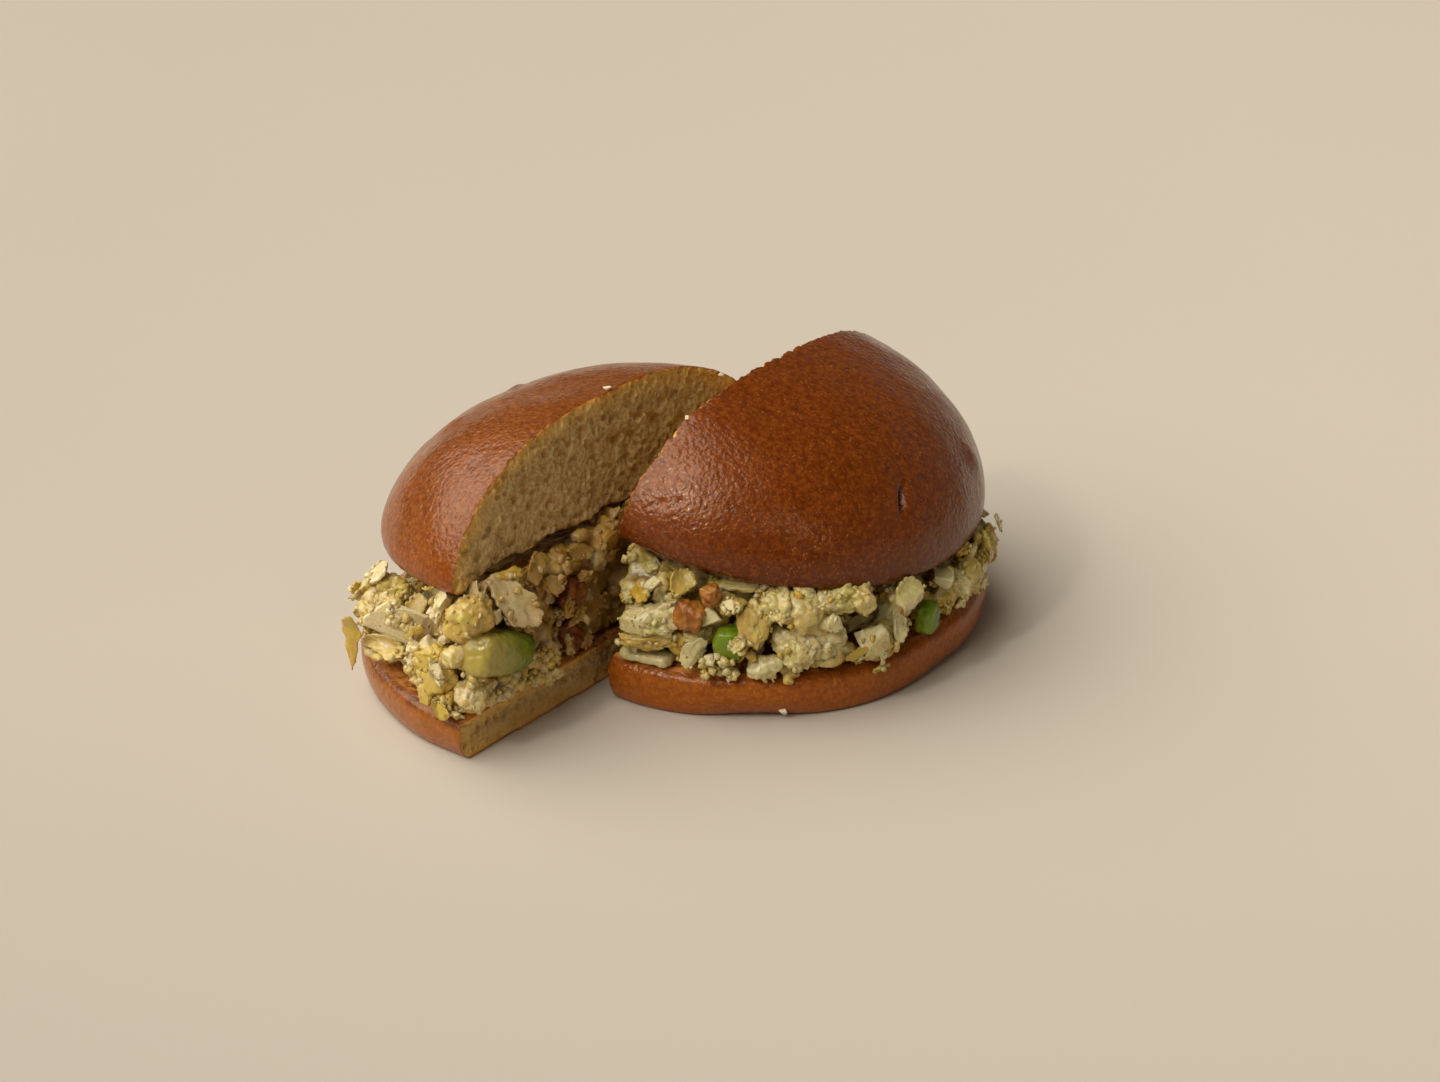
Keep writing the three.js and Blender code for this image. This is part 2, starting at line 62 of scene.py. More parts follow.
# The two halves, in millimetres, each in a frame of its own: cut at x = 0, bread towards +x, y along
# the cut. A mark is its place, reach and push, and its turn in degrees where it has one.
HALVES = {
    "left": {
        "at": (-0.1, -20.6), "turn": 178.36, "seed": 11, "spills_from": 17, "overhang": 5.5,
        "half_chord": 55.6, "depth": 52.2, "lip": 38.9, "rise": 29.7, "round": 2.73, "dome": 1.52,
        "tilt_out": 5.7, "tilt_along": -0.7, "shift": (2.3, -0.4),
        "base_height": 10, "base_chord": 57.9, "base_depth": 62.8, "tuck": 1.9,
        "dents": [(92, 12, 0.9)],
        "marks": [((35, 18, 58), (3.4, 3.4, 3.4), 0.8), ((40, 16, 55), (2.6, 2.6, 2.6), -0.9),
                  ((30, 31, 58), (9, 9, 9), 0.5), ((35, -3, 61.4), (1.8, 2.4, 1.8), 0.6),
                  ((34.4, -6.6, 61.6), (1.6, 1.4, 1.6), -0.9)],
        "wrinkled": ((27, 12, 64), 16), "burnt": 0.85, "chips": 0.5,
        "holes": [(-2.5, 56.3, 1.5), (0.5, 63, 1.1), (-6, 51, 1.2), (-17, 56.5, 1.5),
                  (-12, 61, 1.1), (14, 50, 0.9)],
    },
    "right": {
        "at": (4.5, 21.6), "turn": 1.64, "seed": 29, "spills_from": 100, "overhang": 3.0,
        "half_chord": 54.9, "depth": 55.3, "lip": 38.1, "rise": 30.3, "round": 2.72, "dome": 1.8,
        "tilt_out": 11.7, "tilt_along": 2.8, "shift": (1.3, -0.3),
        "base_height": 10.8, "base_chord": 57.8, "base_depth": 55.9, "tuck": 1.5,
        "dents": [(-92, 7, 1.4), (-54, 13, 3.4), (5, 16, 1.2)],
        "marks": [((49.9, -11.3, 46.7), (0.7, 5, 2.9), -1.7, 35), ((47.7, 23.4, 43.3), (3.6, 3.6, 3.6), 0.8),
                  ((2, 13, 68), (2.5, 2.5, 2.5), -1.5), ((10.5, -49, 55), (1.1, 1.1, 1.1), -0.5),
                  ((13, -46.6, 56.4), (0.9, 0.9, 0.9), -0.45), ((11.5, -51, 51), (1, 1, 1), -0.45),
                  ((15, -49.4, 52), (0.9, 0.9, 0.9), -0.4), ((35.5, -39.8, 45.8), (1, 1, 1), 0.4)],
        "wrinkled": ((11, -47, 54), 13), "burnt": 0.3, "chips": 1.0,
        "holes": [(6, 58, 1.6), (18, 54, 1.3), (30, 50, 1.1), (-12, 60, 1.5), (24, 44, 1.0)],
    },
}

# Bread: the ball each bun starts from, its even cells, and the steps of the two profiles.
SEGMENTS = 192
RINGS = 120
BREAD_VOXEL = 0.6
BULGE = 3.0
UNDER_STEPS = [0, 0.12, 0.26, 0.38, 0.5, 0.62, 1]
UNDER_OUT = [1, 0.998, 0.982, 0.95, 0.9, 0.8, 0]
UNDER_HEIGHT = [3, 1.5, 0.4, 0, 1.2, 2.4, 2.4]
BASE_SQUARE = 2.12
BASE_STEPS = [0, 0.28, 0.33, 0.38, 0.44, 0.56, 0.66, 0.74, 0.8, 0.84, 1]
BASE_INSET = [0, 2.6, 1.7, 0.5, 0, 0, 0, 0, 0, 0.5, 0]
BASE_HEIGHT = [0.3, 0.25, 0, -0.9, -2.6, -5, -7, -8.6, -9.6, -10, -10]
BASE_HEIGHT_FULL = 10

# The cut face: the reach of the cells that are split once more, and where a point counts as on the
# face, by the way it faces and by its depth. RIND is where the crumb begins under the crust.
CROWN_CLOSE = 1.6
BASE_CLOSE = 1.5
CUT_FACING = (0.25, 0.7)
CUT_DEPTH = (0.8, 1.8)
RIND = (0.3, 1.6)

# Crumb: how far it sinks, bubbles for each square millimetre, their radii, and their depth as a share.
CRUMB_SUNK = 0.35
BUBBLES = 0.8
BUBBLE_SIZES = (0.28, 1.15)
HOLE_DEPTH = 0.85

# Egg core that the curds sit on: its cells, how far it is sunk, and how much painted shade darkens its
# creases.
CORE_VOXEL = 0.8
CORE_SUNK = 1.9
CORE_SUNK_AT_CUT = 0.7
CORE_CREASE_SHADE = 0.9

# Egg pieces: shapes of each kind, the half size from which one gets the fine mesh, how much it is
# lifted towards the light, and how far it stands proud.
SHAPES = 6
FINE_FROM = 5.0
FINE_CLUMP = 4.5
LIFTED = 0.3
KNOBBY_PROUD = 0.9
FLAT_PROUD = 1.6

# Bounds of the egg: past the knife, up from the crown's lip, over the base, and down past its edge.
KNIFE_REACH = 1.5
CROWN_GAP = 3.4
BASE_GAP = 0.2
DROOP = 2.4

# Small stuff: mash grains for each square millimetre, loose bits and pepper specks on a half.
MASH_DENSITY = 2.2
LOOSE_BITS = 800
PEPPER_SPECKS = 240
PEPPER_SIZES = ((0.14, 0.34), (0.12, 0.24), (0.06, 0.12))

# What is scattered keeps clear of the nodes and placed pieces, by these shares of their size.
NODE_CLEAR = 0.27
PLACED_CLEAR = 0.7

# The row of curds along the cut under the crown: its ends as shares of the half chord, the steps
# between curds, how far they are set back at the dark gap, and a curd's length.
LEDGE_ENDS = (-0.84, 0.86)
LEDGE_STEPS = (2.2, 6.5)
LEDGE_BACK = 7
LEDGE_LENGTHS = (1.8, 4.6)

# Avocado, tomato and slab: cells, rounds of smoothing and relief. The wedge turns green over its last
# 20 mm towards +Y, and the cubes are green all through, as their fade starts 14 mm before them.
PIECE_VOXEL = 0.8
PIECE_SOFT = 4
WEDGE_SOFT = 34
PIECE_RELIEF = {"tomato": 0.8, "avocado": 0.3, "egg": 0.3}
WEDGE_GREEN = 20
CUBE_AHEAD = 14

# Clumps scattered on a half: how many, their spacing, length and stand, and their tones, white to yolk.
CLUMPS = {
    "large": (18, 6, (3.4, 5.6), (-0.2, 0.9), (0.1, 0.25, 0.4, 0.6, 0.85)),
    "small": (70, 2.8, (1.6, 3.4), (0.2, 1.6), (0.05, 0.2, 0.35, 0.55, 0.9)),
    "fill": (110, 2.4, (1.1, 2.3), (-0.4, 1.2), (0.05, 0.2, 0.35, 0.55, 0.9)),
}

# Loose flakes and chopped white: how many, their spacing, three half sizes and stand, and their tones.
LOOSE = {
    "flake": (42, 4, ((2.2, 4.4), (1.5, 2.8), (0.4, 0.7)), (0.8, 1.8), (0.05, 0.15, 0.3, 0.6, 0.95)),
    "chunk": (24, 5, ((1.3, 2.4), (1.1, 1.9), (0.9, 1.5)), (0.9, 1.7), (0.0, 0.05, 0.15)),
}

# Cooked egg that shows clearly: kind, place in its half, half sizes, turn in its plane, and tone.
EGG_PLACES = {
    "left": [
        ("chunk", (20.5, 53.6, 27.4), (8.0, 5.2, 1.1), -30, 0.06),
        ("mash", (20, 54.4, 28.4), (3.4, 2.0, 1.4), -30, 0.25),
        ("knobby", (25, 52.6, 30.6), (3.0, 1.8, 1.6), -20, 0.35),
        ("flake", (14.6, 55.2, 26.8), (4.4, 1.0, 0.8), 64, 0.75),
        ("chunk", (22, 54.5, 29), (1.8, 1.5, 1.1), 10, 0.0),
        ("flake", (28.5, 51, 17.8), (7.4, 2.6, 1.3), 4, 0.42),
        ("knobby", (34.6, 51.6, 24.2), (3.6, 2.6, 2.2), -20, 0.5),
        ("knobby", (30, 48.5, 24), (4.2, 3.4, 3.2), 0, 0.55),
        ("knobby", (29, 49, 33), (4.0, 3.2, 3.0), 20, 0.6),
        ("flake", (31.4, 48, 33.4), (4.4, 3.2, 0.6), 25, 0.1),
        ("knobby", (7, 58, 25), (5.6, 4.6, 4.0), 0, 0.85),
        ("knobby", (6, 58.6, 19.5), (4.8, 4.2, 3.4), 30, 0.8),
        ("chunk", (5.6, 59.4, 22.4), (1.9, 2.2, 1.2), 20, 0.0),
        ("knobby", (9.5, 59, 15.4), (2.1, 3.0, 1.9), 10, 0.75),
        ("knobby", (4.7, 57.6, 14.4), (2.0, 2.9, 1.9), -10, 0.7),
        ("knobby", (-1.6, 55.6, 17), (3.7, 4.3, 3.2), 0, 0.3),
        ("chunk", (7, 54, 37.4), (2.9, 1.8, 1.6), -12, 0.0),
        ("smooth", (-1.8, 53.6, 36.6), (5.6, 4.8, 4.2), 20, 0.6),
        ("smooth", (1, 55, 31.5), (4.8, 4.0, 3.6), -20, 0.7),
        ("smooth", (1, 56.4, 26.4), (3.8, 2.8, 2.2), 15, 0.4),
        ("mash", (-1.6, 54, 22.4), (3.4, 3.0, 2.4), 0, 0.3),
        ("flake", (-2.6, 42, 35), (8.4, 4.3, 1.2), -52, 0.1),
        ("knobby", (-0.6, 41, 41), (3.6, 2.0, 1.8), -10, 0.9),
        ("flake", (1, 31, 38), (4.2, 2.6, 0.6), 30, 0.5),
        ("flake", (-0.4, 26.5, 32.6), (3.6, 2.2, 0.6), -35, 0.5),
        ("flake", (0.4, 34, 27), (4.0, 2.4, 0.6), 60, 0.4),
        ("knobby", (0.4, 8.7, 31.6), (3.0, 3.4, 2.2), 0, 0.05),
        ("flake", (-0.8, 22.2, 25.4), (3.0, 1.6, 0.6), 66, 0.5),
        ("knobby", (-0.6, 15.2, 30), (2.2, 1.5, 1.2), 0, 0.4),
        ("flake", (-0.9, 19, 21.6), (3.8, 1.5, 0.7), 12, 0.5),
        ("knobby", (-0.7, 15.4, 14), (2.2, 1.7, 1.3), 30, 0.5),
        ("flake", (-0.7, 22.6, 15.6), (2.6, 1.4, 0.6), 80, 0.45),
        ("mash", (-1.4, 47, 15.6), (8.0, 3.4, 1.4), -6, 0.3),
        ("mash", (-1.8, 34, 15), (7.0, 4.4, 1.4), 0, 0.4),
    ],
    "right": [
        ("knobby", (12.5, -57.8, 24.6), (7.2, 4.4, 3.6), 12, 0.22),
        ("chunk", (11, -58.8, 24.4), (2.6, 1.5, 1.1), 35, 0.0),
        ("knobby", (12, -58, 19), (6.8, 3.0, 3.2), 0, 0.62),
        ("flake", (13.6, -51, 26.5), (2.8, 1.7, 0.7), 0, 0.3),
        ("flake", (16.4, -51.6, 32.6), (3.8, 3.0, 0.6), 40, 0.6),
        ("knobby", (21.5, -51, 20.4), (4.0, 2.7, 2.6), 0, 0.35),
        ("chunk", (24, -50.4, 26), (2.5, 2.0, 1.8), 20, 0.12),
        ("knobby", (28, -49.6, 12.4), (3.4, 1.6, 1.8), 0, 0.3),
        ("smooth", (33.6, -47.6, 25.4), (3.8, 5.8, 3.4), 8, 0.5),
        ("smooth", (27, -43, 31.6), (5.4, 1.9, 1.6), -4, 0.35),
        ("mash", (26.6, -52, 14.8), (4.6, 2.2, 1.4), 0, 0.2),
        ("flake", (31.6, -49.6, 21), (2.8, 1.7, 0.8), 62, 0.3),
        ("knobby", (37.5, -44, 30.5), (5.0, 4.4, 3.6), 0, 0.34),
        ("knobby", (43.4, -40.6, 29), (4.8, 4.8, 3.6), 40, 0.3),
        ("knobby", (47.6, -33.4, 30.6), (5.6, 3.6, 3.4), 0, 0.24),
        ("knobby", (52, -27, 29.6), (4.6, 3.6, 3.2), 30, 0.3),
        ("knobby", (40.6, -42.6, 20), (5.2, 6.2, 4.0), 60, 0.2),
        ("knobby", (46.4, -36.4, 19.6), (5.6, 5.6, 4.0), 0, 0.14),
        ("knobby", (36.4, -47, 14.6), (4.6, 3.0, 2.6), 20, 0.12),
        ("flake", (51.2, -31.8, 16), (3.2, 1.5, 0.6), 15, 1.0),
        ("chunk", (52.4, -26.6, 18), (3.8, 3.7, 2.2), 20, 0.2),
        ("flake", (53.6, -18.6, 18.6), (4.0, 2.3, 0.7), 74, 0.04),
        ("flake", (55, -16.2, 26.4), (4.2, 3.8, 0.8), 30, 0.22),
        ("chunk", (54.6, 0, 23.6), (2.3, 2.6, 1.5), 0, 0.0),
        ("knobby", (57.4, 9, 21.8), (4.2, 5.0, 3.0), 0, 0.45),
        ("flake", (55, 18, 24), (4.4, 2.6, 0.7), 60, 0.5),
        ("knobby", (51.8, 25.6, 21), (3.4, 5.2, 3.0), 0, 0.55),
    ],
}

# The dark gap left in the egg under the crumb, from and to along the cut.
LEDGE_GAP = {"left": (30, 42), "right": (50, 50)}

# White crumbs that lie on the crust, in their half: place and half sizes.
CRUST_CRUMBS = {
    "left": [((6.6, -2.2, 69.2), (0.9, 0.7, 0.6)), ((5.4, -38, 60.6), (0.6, 0.5, 0.5)),
             ((3.4, -40, 60), (0.5, 0.5, 0.7)), ((6.2, -41, 58.8), (0.4, 0.6, 0.4))],
    "right": [((38, -41.6, 2.2), (0.8, 0.9, 1.1)), ((24, -52, 11.6), (0.7, 0.6, 0.5)),
              ((29, -50, 11.4), (0.6, 0.8, 0.5)), ((3.4, -30, 62), (0.6, 0.6, 0.5))],
}

# Toasted bread that no egg covers, in its half: place and reach.
BARE_TOAST = {"left": [((25, 53, 11.5), 8.5)], "right": [((20, -52, 11.5), 4.5), ((27, -50, 11.5), 3.0)]}

# Camera, from the photograph's perspective.
CAMERA_TARGET = (-22.14, 45.6, 0)
CAMERA_AZIMUTH = 36.63
CAMERA_ELEVATION = 26.42
CAMERA_DISTANCE = 879
LENS = 87.5
SENSOR = 36

# Paper floor in metres, and its painted light falloff: a direction, the millimetres from and to along it,
# and the tone's share at both. The first runs across the picture and the second towards the camera.
FLOOR_SIZE = 8
FLOOR_DROP = 0.00005
FLOOR_LIGHT_FALLOFF = (
    ((0.8, 0.6, 0), -180, 180, 0.965, 1.06),
    ((0.6, -0.8, 0), 0, 210, 1, 0.88),
)

# Lights: azimuth, elevation, distance, width, height, power and tint.
LIGHTS = {
    "key": (226, 53, 10.0, 22.5, 14.0, 2240, (1.0, 0.98, 0.95)),
    "small_window": (118, 31, 2.4, 0.16, 0.4, 2, (1.0, 0.97, 0.93)),
    "high_window": (186, 45, 2.4, 0.2, 0.3, 9, (1.0, 0.97, 0.93)),
}

# The room: dim, but brighter low down in one direction.
WORLD_TINT = (1.0, 0.885, 0.73, 1)
WORLD_DIM = 0.06
WORLD_BRIGHT = 0.26
WORLD_BRIGHT_WAY = (0.43, 0.61, -0.8)
WORLD_SPREAD = (0.05, 0.35)


def only(piece):
    bpy.ops.object.select_all(action="DESELECT")
    piece.select_set(True)
    bpy.context.view_layer.objects.active = piece


def finish_with(piece, kind, **settings):
    only(piece)
    modifier = piece.modifiers.new(kind.lower(), kind)
    for key, value in settings.items():
        setattr(modifier, key, value)
    bpy.ops.object.modifier_apply(modifier=modifier.name)


def make_even(piece, cell):
    """Gives a piece cells of one size, in millimetres."""
    finish_with(piece, "REMESH", mode="VOXEL", voxel_size=cell * MM)


def rows_of(items, name):
    """One vector of each point or face, as rows."""
    flat = np.empty(len(items) * 3, dtype=np.float32)
    items.foreach_get(name, flat)
    return flat.reshape(-1, 3).astype(float)


def points_of(piece):
    return rows_of(piece.data.vertices, "co")


def normals_of(piece):
    return rows_of(piece.data.vertices, "normal")


def faces_of(piece):
    return np.array([tuple(f.vertices) for f in piece.data.polygons])


def set_points(piece, points):
    piece.data.vertices.foreach_set("co", points.astype(np.float32).ravel())
    piece.data.update()


def paint(piece, **layers):
    """Keeps named values with a piece's points, for its material to read."""
    for name, values in layers.items():
        layer = piece.data.attributes.new(name, "FLOAT", "POINT")
        spread = np.zeros(len(piece.data.vertices)) + values
        layer.data.foreach_set("value", spread.astype(np.float32))


def columns(*parts):
    return np.column_stack(parts)


def tree_of(points):
    """A tree that finds the nearest of the points."""
    tree = KDTree(len(points))
    for number, point in enumerate(points.tolist()):
        tree.insert(point, number)
    tree.balance()
    return tree


def smooth_step(values, low, high):
    part = np.clip((values - low) / (high - low), 0, 1)
    return part * part * (3 - 2 * part)


def waves(points, length, seed):
    """Smooth noise from -1 to 1 with one wave for each length in millimetres."""
    moved = points / length + 17.3 * seed
    return np.array([noise.noise(p) for p in moved.tolist()])


def swells(points, *layers, start=0):
    """A sum of waves, each a height, a length and a seed."""
    return sum((height * waves(points, length, seed) for height, length, seed in layers), start)


def grains(points, length, seed):
    """Round grains, 1 at their tops and 0 in the creases between them."""
    moved = points / length + 9.1 * seed
    away = np.array([noise.voronoi(p)[0][0] for p in moved.tolist()])
    return np.sqrt(np.clip(1 - (away / 0.85) ** 2, 0, 1))


def turn_matrix(half):
    angle = math.radians(half["turn"])
    return np.array([
        [math.cos(angle), -math.sin(angle), 0],
        [math.sin(angle), math.cos(angle), 0],
        [0, 0, 1],
    ])


def lean_matrix(half):
    out = math.radians(half["tilt_out"])
    along = math.radians(half["tilt_along"])
    tip = np.array([[math.cos(out), 0, math.sin(out)], [0, 1, 0], [-math.sin(out), 0, math.cos(out)]])
    roll = np.array([
        [1, 0, 0],
        [0, math.cos(along), math.sin(along)],
        [0, -math.sin(along), math.cos(along)],
    ])
    return roll @ tip


def from_half(half, points):
    placed = points @ turn_matrix(half).T + np.array([*half["at"], 0])
    return placed * MM


def to_half(half, points):
    return (points / MM - np.array([*half["at"], 0])) @ turn_matrix(half)


def from_crown(half, points):
    return points @ lean_matrix(half).T + np.array([*half["shift"], half["lip"]])


def to_crown(half, points):
    return (points - np.array([*half["shift"], half["lip"]])) @ lean_matrix(half)


def keep_inside(piece):
    """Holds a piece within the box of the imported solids."""
    low, high = (np.array(corner) for corner in CAD_BOX)
    set_points(piece, np.clip(points_of(piece), low, high))


def new_ball(name):
    bpy.ops.object.select_all(action="DESELECT")
    bpy.ops.mesh.primitive_uv_sphere_add(segments=SEGMENTS, ring_count=RINGS, radius=1)
    piece = bpy.context.object
    piece.name = name
    piece.data.name = name
    return piece


def cut_away(piece, point, ahead):
    """Cuts a piece at a point, keeps the side towards another point ahead, and closes the cut."""
    normal = Vector(point - ahead).normalized()
    only(piece)
    bpy.ops.object.mode_set(mode="EDIT")
    bpy.ops.mesh.select_all(action="SELECT")
    bpy.ops.mesh.bisect(plane_co=tuple(point), plane_no=tuple(normal), use_fill=True, clear_outer=True)
    bpy.ops.object.mode_set(mode="OBJECT")


def refine(piece, chosen):
    """Splits each side of the chosen faces once."""
    only(piece)
    bpy.ops.object.mode_set(mode="EDIT")
    bpy.ops.mesh.select_all(action="DESELECT")
    bpy.ops.mesh.select_mode(type="FACE")
    bpy.ops.object.mode_set(mode="OBJECT")
    piece.data.polygons.foreach_set("select", chosen)
    bpy.ops.object.mode_set(mode="EDIT")
    bpy.ops.mesh.subdivide(number_cuts=1)
    bpy.ops.object.mode_set(mode="OBJECT")


def halve(piece, half, leaning, close):
    """Cuts a bun along the knife, evens its cells and splits those near the cut once more.

    It gives each point's place and the way it faces, in the half or in its leaning crown, and its
    share of the cut face."""
    def seen(places, normals):
        places = to_half(half, places)
        normals = normals @ turn_matrix(half)
        if leaning:
            return to_crown(half, places), normals @ lean_matrix(half)
        return places, normals

    ends = np.array([[0.0, 0, 0], [1.0, 0, 0]])
    cut_away(piece, *from_half(half, from_crown(half, ends) if leaning else ends))
    make_even(piece, BREAD_VOXEL)
    place, facing = seen(rows_of(piece.data.polygons, "center"), rows_of(piece.data.polygons, "normal"))
    refine(piece, (place[:, 0] < close) & (facing[:, 0] < -0.2))
    place, facing = seen(points_of(piece), normals_of(piece))
    on_cut = smooth_step(-facing[:, 0], *CUT_FACING) * (1 - smooth_step(place[:, 0], *CUT_DEPTH))
    return place, facing, on_cut


def mark_share(points, place, reach, spin=0):
    """Soft share of an oval mark at each point, its axes turned about the upright."""
    turn = math.radians(spin)
    away = points - np.array(place)
    across = away[:, 0] * math.cos(turn) + away[:, 1] * math.sin(turn)
    ahead = away[:, 1] * math.cos(turn) - away[:, 0] * math.sin(turn)
    return np.exp(-((columns(across, ahead, away[:, 2]) / np.array(reach)) ** 2).sum(axis=1))


def marked(half, points):
    """Dents and small lumps in the crust."""
    outward = points - np.array([0, 0, half["lip"] - 12])
    outward /= np.linalg.norm(outward, axis=1)[:, None]
    for place, reach, push, *spin in half["marks"]:
        points = points + outward * (push * mark_share(points, place, reach, *spin))[:, None]
    return points


def pore_depth(spots, face, rng, count):
    """Depth of many scattered bubbles in a face of crumb, at each of its points."""
    tree = tree_of(columns(face, np.zeros(len(face))))
    depth = np.zeros(len(face))
    low = face.min(axis=0)
    high = face.max(axis=0)
    smallest, largest = BUBBLE_SIZES
    bubbles = [(rng.uniform(low[0], high[0]), rng.uniform(low[1], high[1]),
                smallest + (largest - smallest) * rng.random() ** 4.5) for _ in range(count)]
    for across, upward, size in bubbles + spots:
        squeeze = rng.uniform(0.75, 1.3)
        for place, index, _ in tree.find_range((across, upward, 0), size * 1.4):
            aside = (place[0] - across) / squeeze
            away = math.hypot(aside, (place[1] - upward) * squeeze) / size
            if away < 1:
                depth[index] = max(depth[index], HOLE_DEPTH * size * math.sqrt(1 - away * away))
    return depth


def sink_crumb(place, on_cut, rind, seed, spots, least):
    """Sinks the crumb of a cut face in from the cut, less so along the rind, and gives its pores' depth."""
    cut = np.nonzero(on_cut > 0.01)[0]
    flat = place[cut][:, 1:]
    count = int(np.ptp(flat[:, 0]) * np.ptp(flat[:, 1]) * BUBBLES)
    deep = pore_depth(spots, flat, random.Random(seed), count)
    solid = columns(flat, np.zeros(len(flat)))
    layers = ((0.5, 4.6, seed), (0.26, 1.5, seed + 1), (0.16, 0.75, seed + 2))
    relief = swells(solid, *layers, start=CRUMB_SUNK) + deep
    inner = smooth_step(rind[cut], *RIND)
    place[cut, 0] += on_cut[cut] * (relief * (least + (1 - least) * inner))
    pore = np.zeros(len(place))
    pore[cut] = deep
    return pore


def crown_shape(half, ball):
    """The crown before the cut: a dome, a rounded lower edge and a nearly flat underside."""
    angle = np.arctan2(ball[:, 1], ball[:, 0])
    drop = np.arccos(np.clip(ball[:, 2], -1, 1)) / math.pi
    rise = np.clip(0.5 - drop, 0, 0.5) * math.pi
    over_out = np.cos(rise) ** (2 / half["round"])
    over_z = BULGE + (half["rise"] - BULGE) * np.sin(rise) ** (2 / half["dome"])
    below = np.clip(drop - 0.5, 0, 0.5) * 2
    upper = drop < 0.5
    out = np.where(upper, over_out, np.interp(below, UNDER_STEPS, UNDER_OUT))
    z = np.where(upper, over_z, np.interp(below, UNDER_STEPS, UNDER_HEIGHT))
    circle = columns(np.cos(angle), np.sin(angle), z / 30) * 1.6
    out = out * (1 + 0.010 * waves(circle, 1, half["seed"]))
    shape = columns(half["depth"] * out * np.cos(angle), half["half_chord"] * out * np.sin(angle), z)
    swell = swells(shape, (0.5, 19, half["seed"] + 1), (0.22, 8, half["seed"] + 2))
    shape[:, 2] += np.where(upper, swell, 0)
    return shape


def build_crown(side):
    half = HALVES[side]
    seed = half["seed"]
    piece = new_ball(f"{side}_top_bun_baked")
    set_points(piece, from_half(half, from_crown(half, crown_shape(half, points_of(piece)))))
    place, facing, on_cut = halve(piece, half, leaning=True, close=CROWN_CLOSE)
    under = smooth_step(-facing[:, 2], 0.2, 0.6) * (1 - smooth_step(place[:, 2], 2.8, 3.6))
    outer = np.hypot(place[:, 0] / half["depth"], place[:, 1] / half["half_chord"])
    under *= 1 - smooth_step(outer, 0.9, 0.95)
    crumb = np.maximum(on_cut, under)
    crust = tree_of(place[crumb < 0.1])
    rind = np.array([crust.find(p)[2] if c > 0.1 else 0 for p, c in zip(place.tolist(), crumb)])

    holes = []
    for across, upward, size in half["holes"]:
        lean = math.sin(math.radians(half["tilt_out"])) * (upward - half["lip"])
        spot = to_crown(half, np.array([[half["shift"][0] + lean, across, upward]]))[0]
        holes.append((spot[1], spot[2], size))
    pore = sink_crumb(place, on_cut, rind, seed, holes, 0.25) * smooth_step(rind, *RIND)

    edge = (1 - smooth_step(place[:, 0], 0.6, 2.2)) * (1 - smooth_step(rind, 0.6, 1.8))
    chips = np.maximum(swells(place, (1, 2.3, seed + 8), (0.6, 1.1, seed + 9)), -0.1)
    place[:, 0] += edge * chips * half["chips"]
    place[:, 2] -= edge * np.maximum(waves(place, 3.1, seed + 12), 0) * 0.6 * half["chips"]
    torn = swells(place, (0.8, 6.5, seed + 3), (0.7, 2.6, seed + 4), (0.35, 1.3, seed + 5))
    near_cut = 1 - smooth_step(place[:, 0], 2, 9)
    low = (1 - smooth_step(place[:, 2], 2.5, 6)) * near_cut * smooth_step(np.maximum(rind, crumb), 0.5, 2)
    place[:, 2] += low * (torn + 0.3)
    standing = from_crown(half, place)
    # A patch of fine wrinkles, whose share also paints a sheen into the crust's colour.
    spot, reach = half["wrinkled"]
    wrinkled = np.exp(-((np.linalg.norm(standing - np.array(spot), axis=1) / reach) ** 2)) * (1 - crumb)
    wrinkled *= 0.7 + 0.5 * waves(place, 7, 6)
    broad = swells(place, (0.02, 1.6, 3), (0.05, 3.6, 4), (0.14, 9, 5))
    small = swells(place, (0.06, 1.3, 7), (0.1, 2.8, 8))
    place += facing * ((1 - crumb) * broad + wrinkled * small)[:, None]
    set_points(piece, from_half(half, marked(half, from_crown(half, place))))
    # The right crown's slit: its dent is real, and the dark colour painted inside it is painted shade.
    spot, reach, _, *spin = half["marks"][0]
    slit_shade = mark_share(standing, spot, reach, *spin) * (side == "right")
    paint(piece, crumb=crumb, pore=pore, rind=rind, toast=under * (1 - on_cut),
          rim=1 - smooth_step(place[:, 2], 0, 14), wrinkled=wrinkled, burnt=slit_shade)
    return piece


def base_reach(half, angle):
    across = np.abs(np.cos(angle) / half["base_depth"]) ** BASE_SQUARE
    along = np.abs(np.sin(angle) / half["base_chord"]) ** BASE_SQUARE
    return (across + along) ** (-1 / BASE_SQUARE)


def base_shape(half, ball):
    """The base before the cut: a flat round with a rolled upper rim, tucked in towards the table."""
    height = half["base_height"]
    angle = np.arctan2(ball[:, 1], ball[:, 0])
    drop = np.arccos(np.clip(ball[:, 2], -1, 1)) / math.pi
    inset = np.interp(drop, BASE_STEPS, BASE_INSET)
    z = np.interp(drop, BASE_STEPS, BASE_HEIGHT)
    z = np.clip(z / BASE_HEIGHT_FULL * height + height, 0, None)
    out = np.interp(drop, [0, 0.28, 0.84, 1], [0, 1, 1, 0])
    fall = np.clip((height - 3 - z) / (height - 3), 0, 1)
    circle = columns(np.cos(angle), np.sin(angle), 0 * angle) * 3.4
    ripple = 0.6 * waves(circle, 1, half["seed"] + 6)
    tuck = np.full(len(angle), float(half["tuck"]))
    for at, wide, deep in half["dents"]:
        aside = np.angle(np.exp(1j * (angle - math.radians(at))))
        tuck += deep * np.exp(-((aside / math.radians(wide)) ** 2))
    reach = (base_reach(half, angle) + ripple - inset - tuck * fall ** 2.4) * out
    return columns(reach * np.cos(angle), reach * np.sin(angle), z)


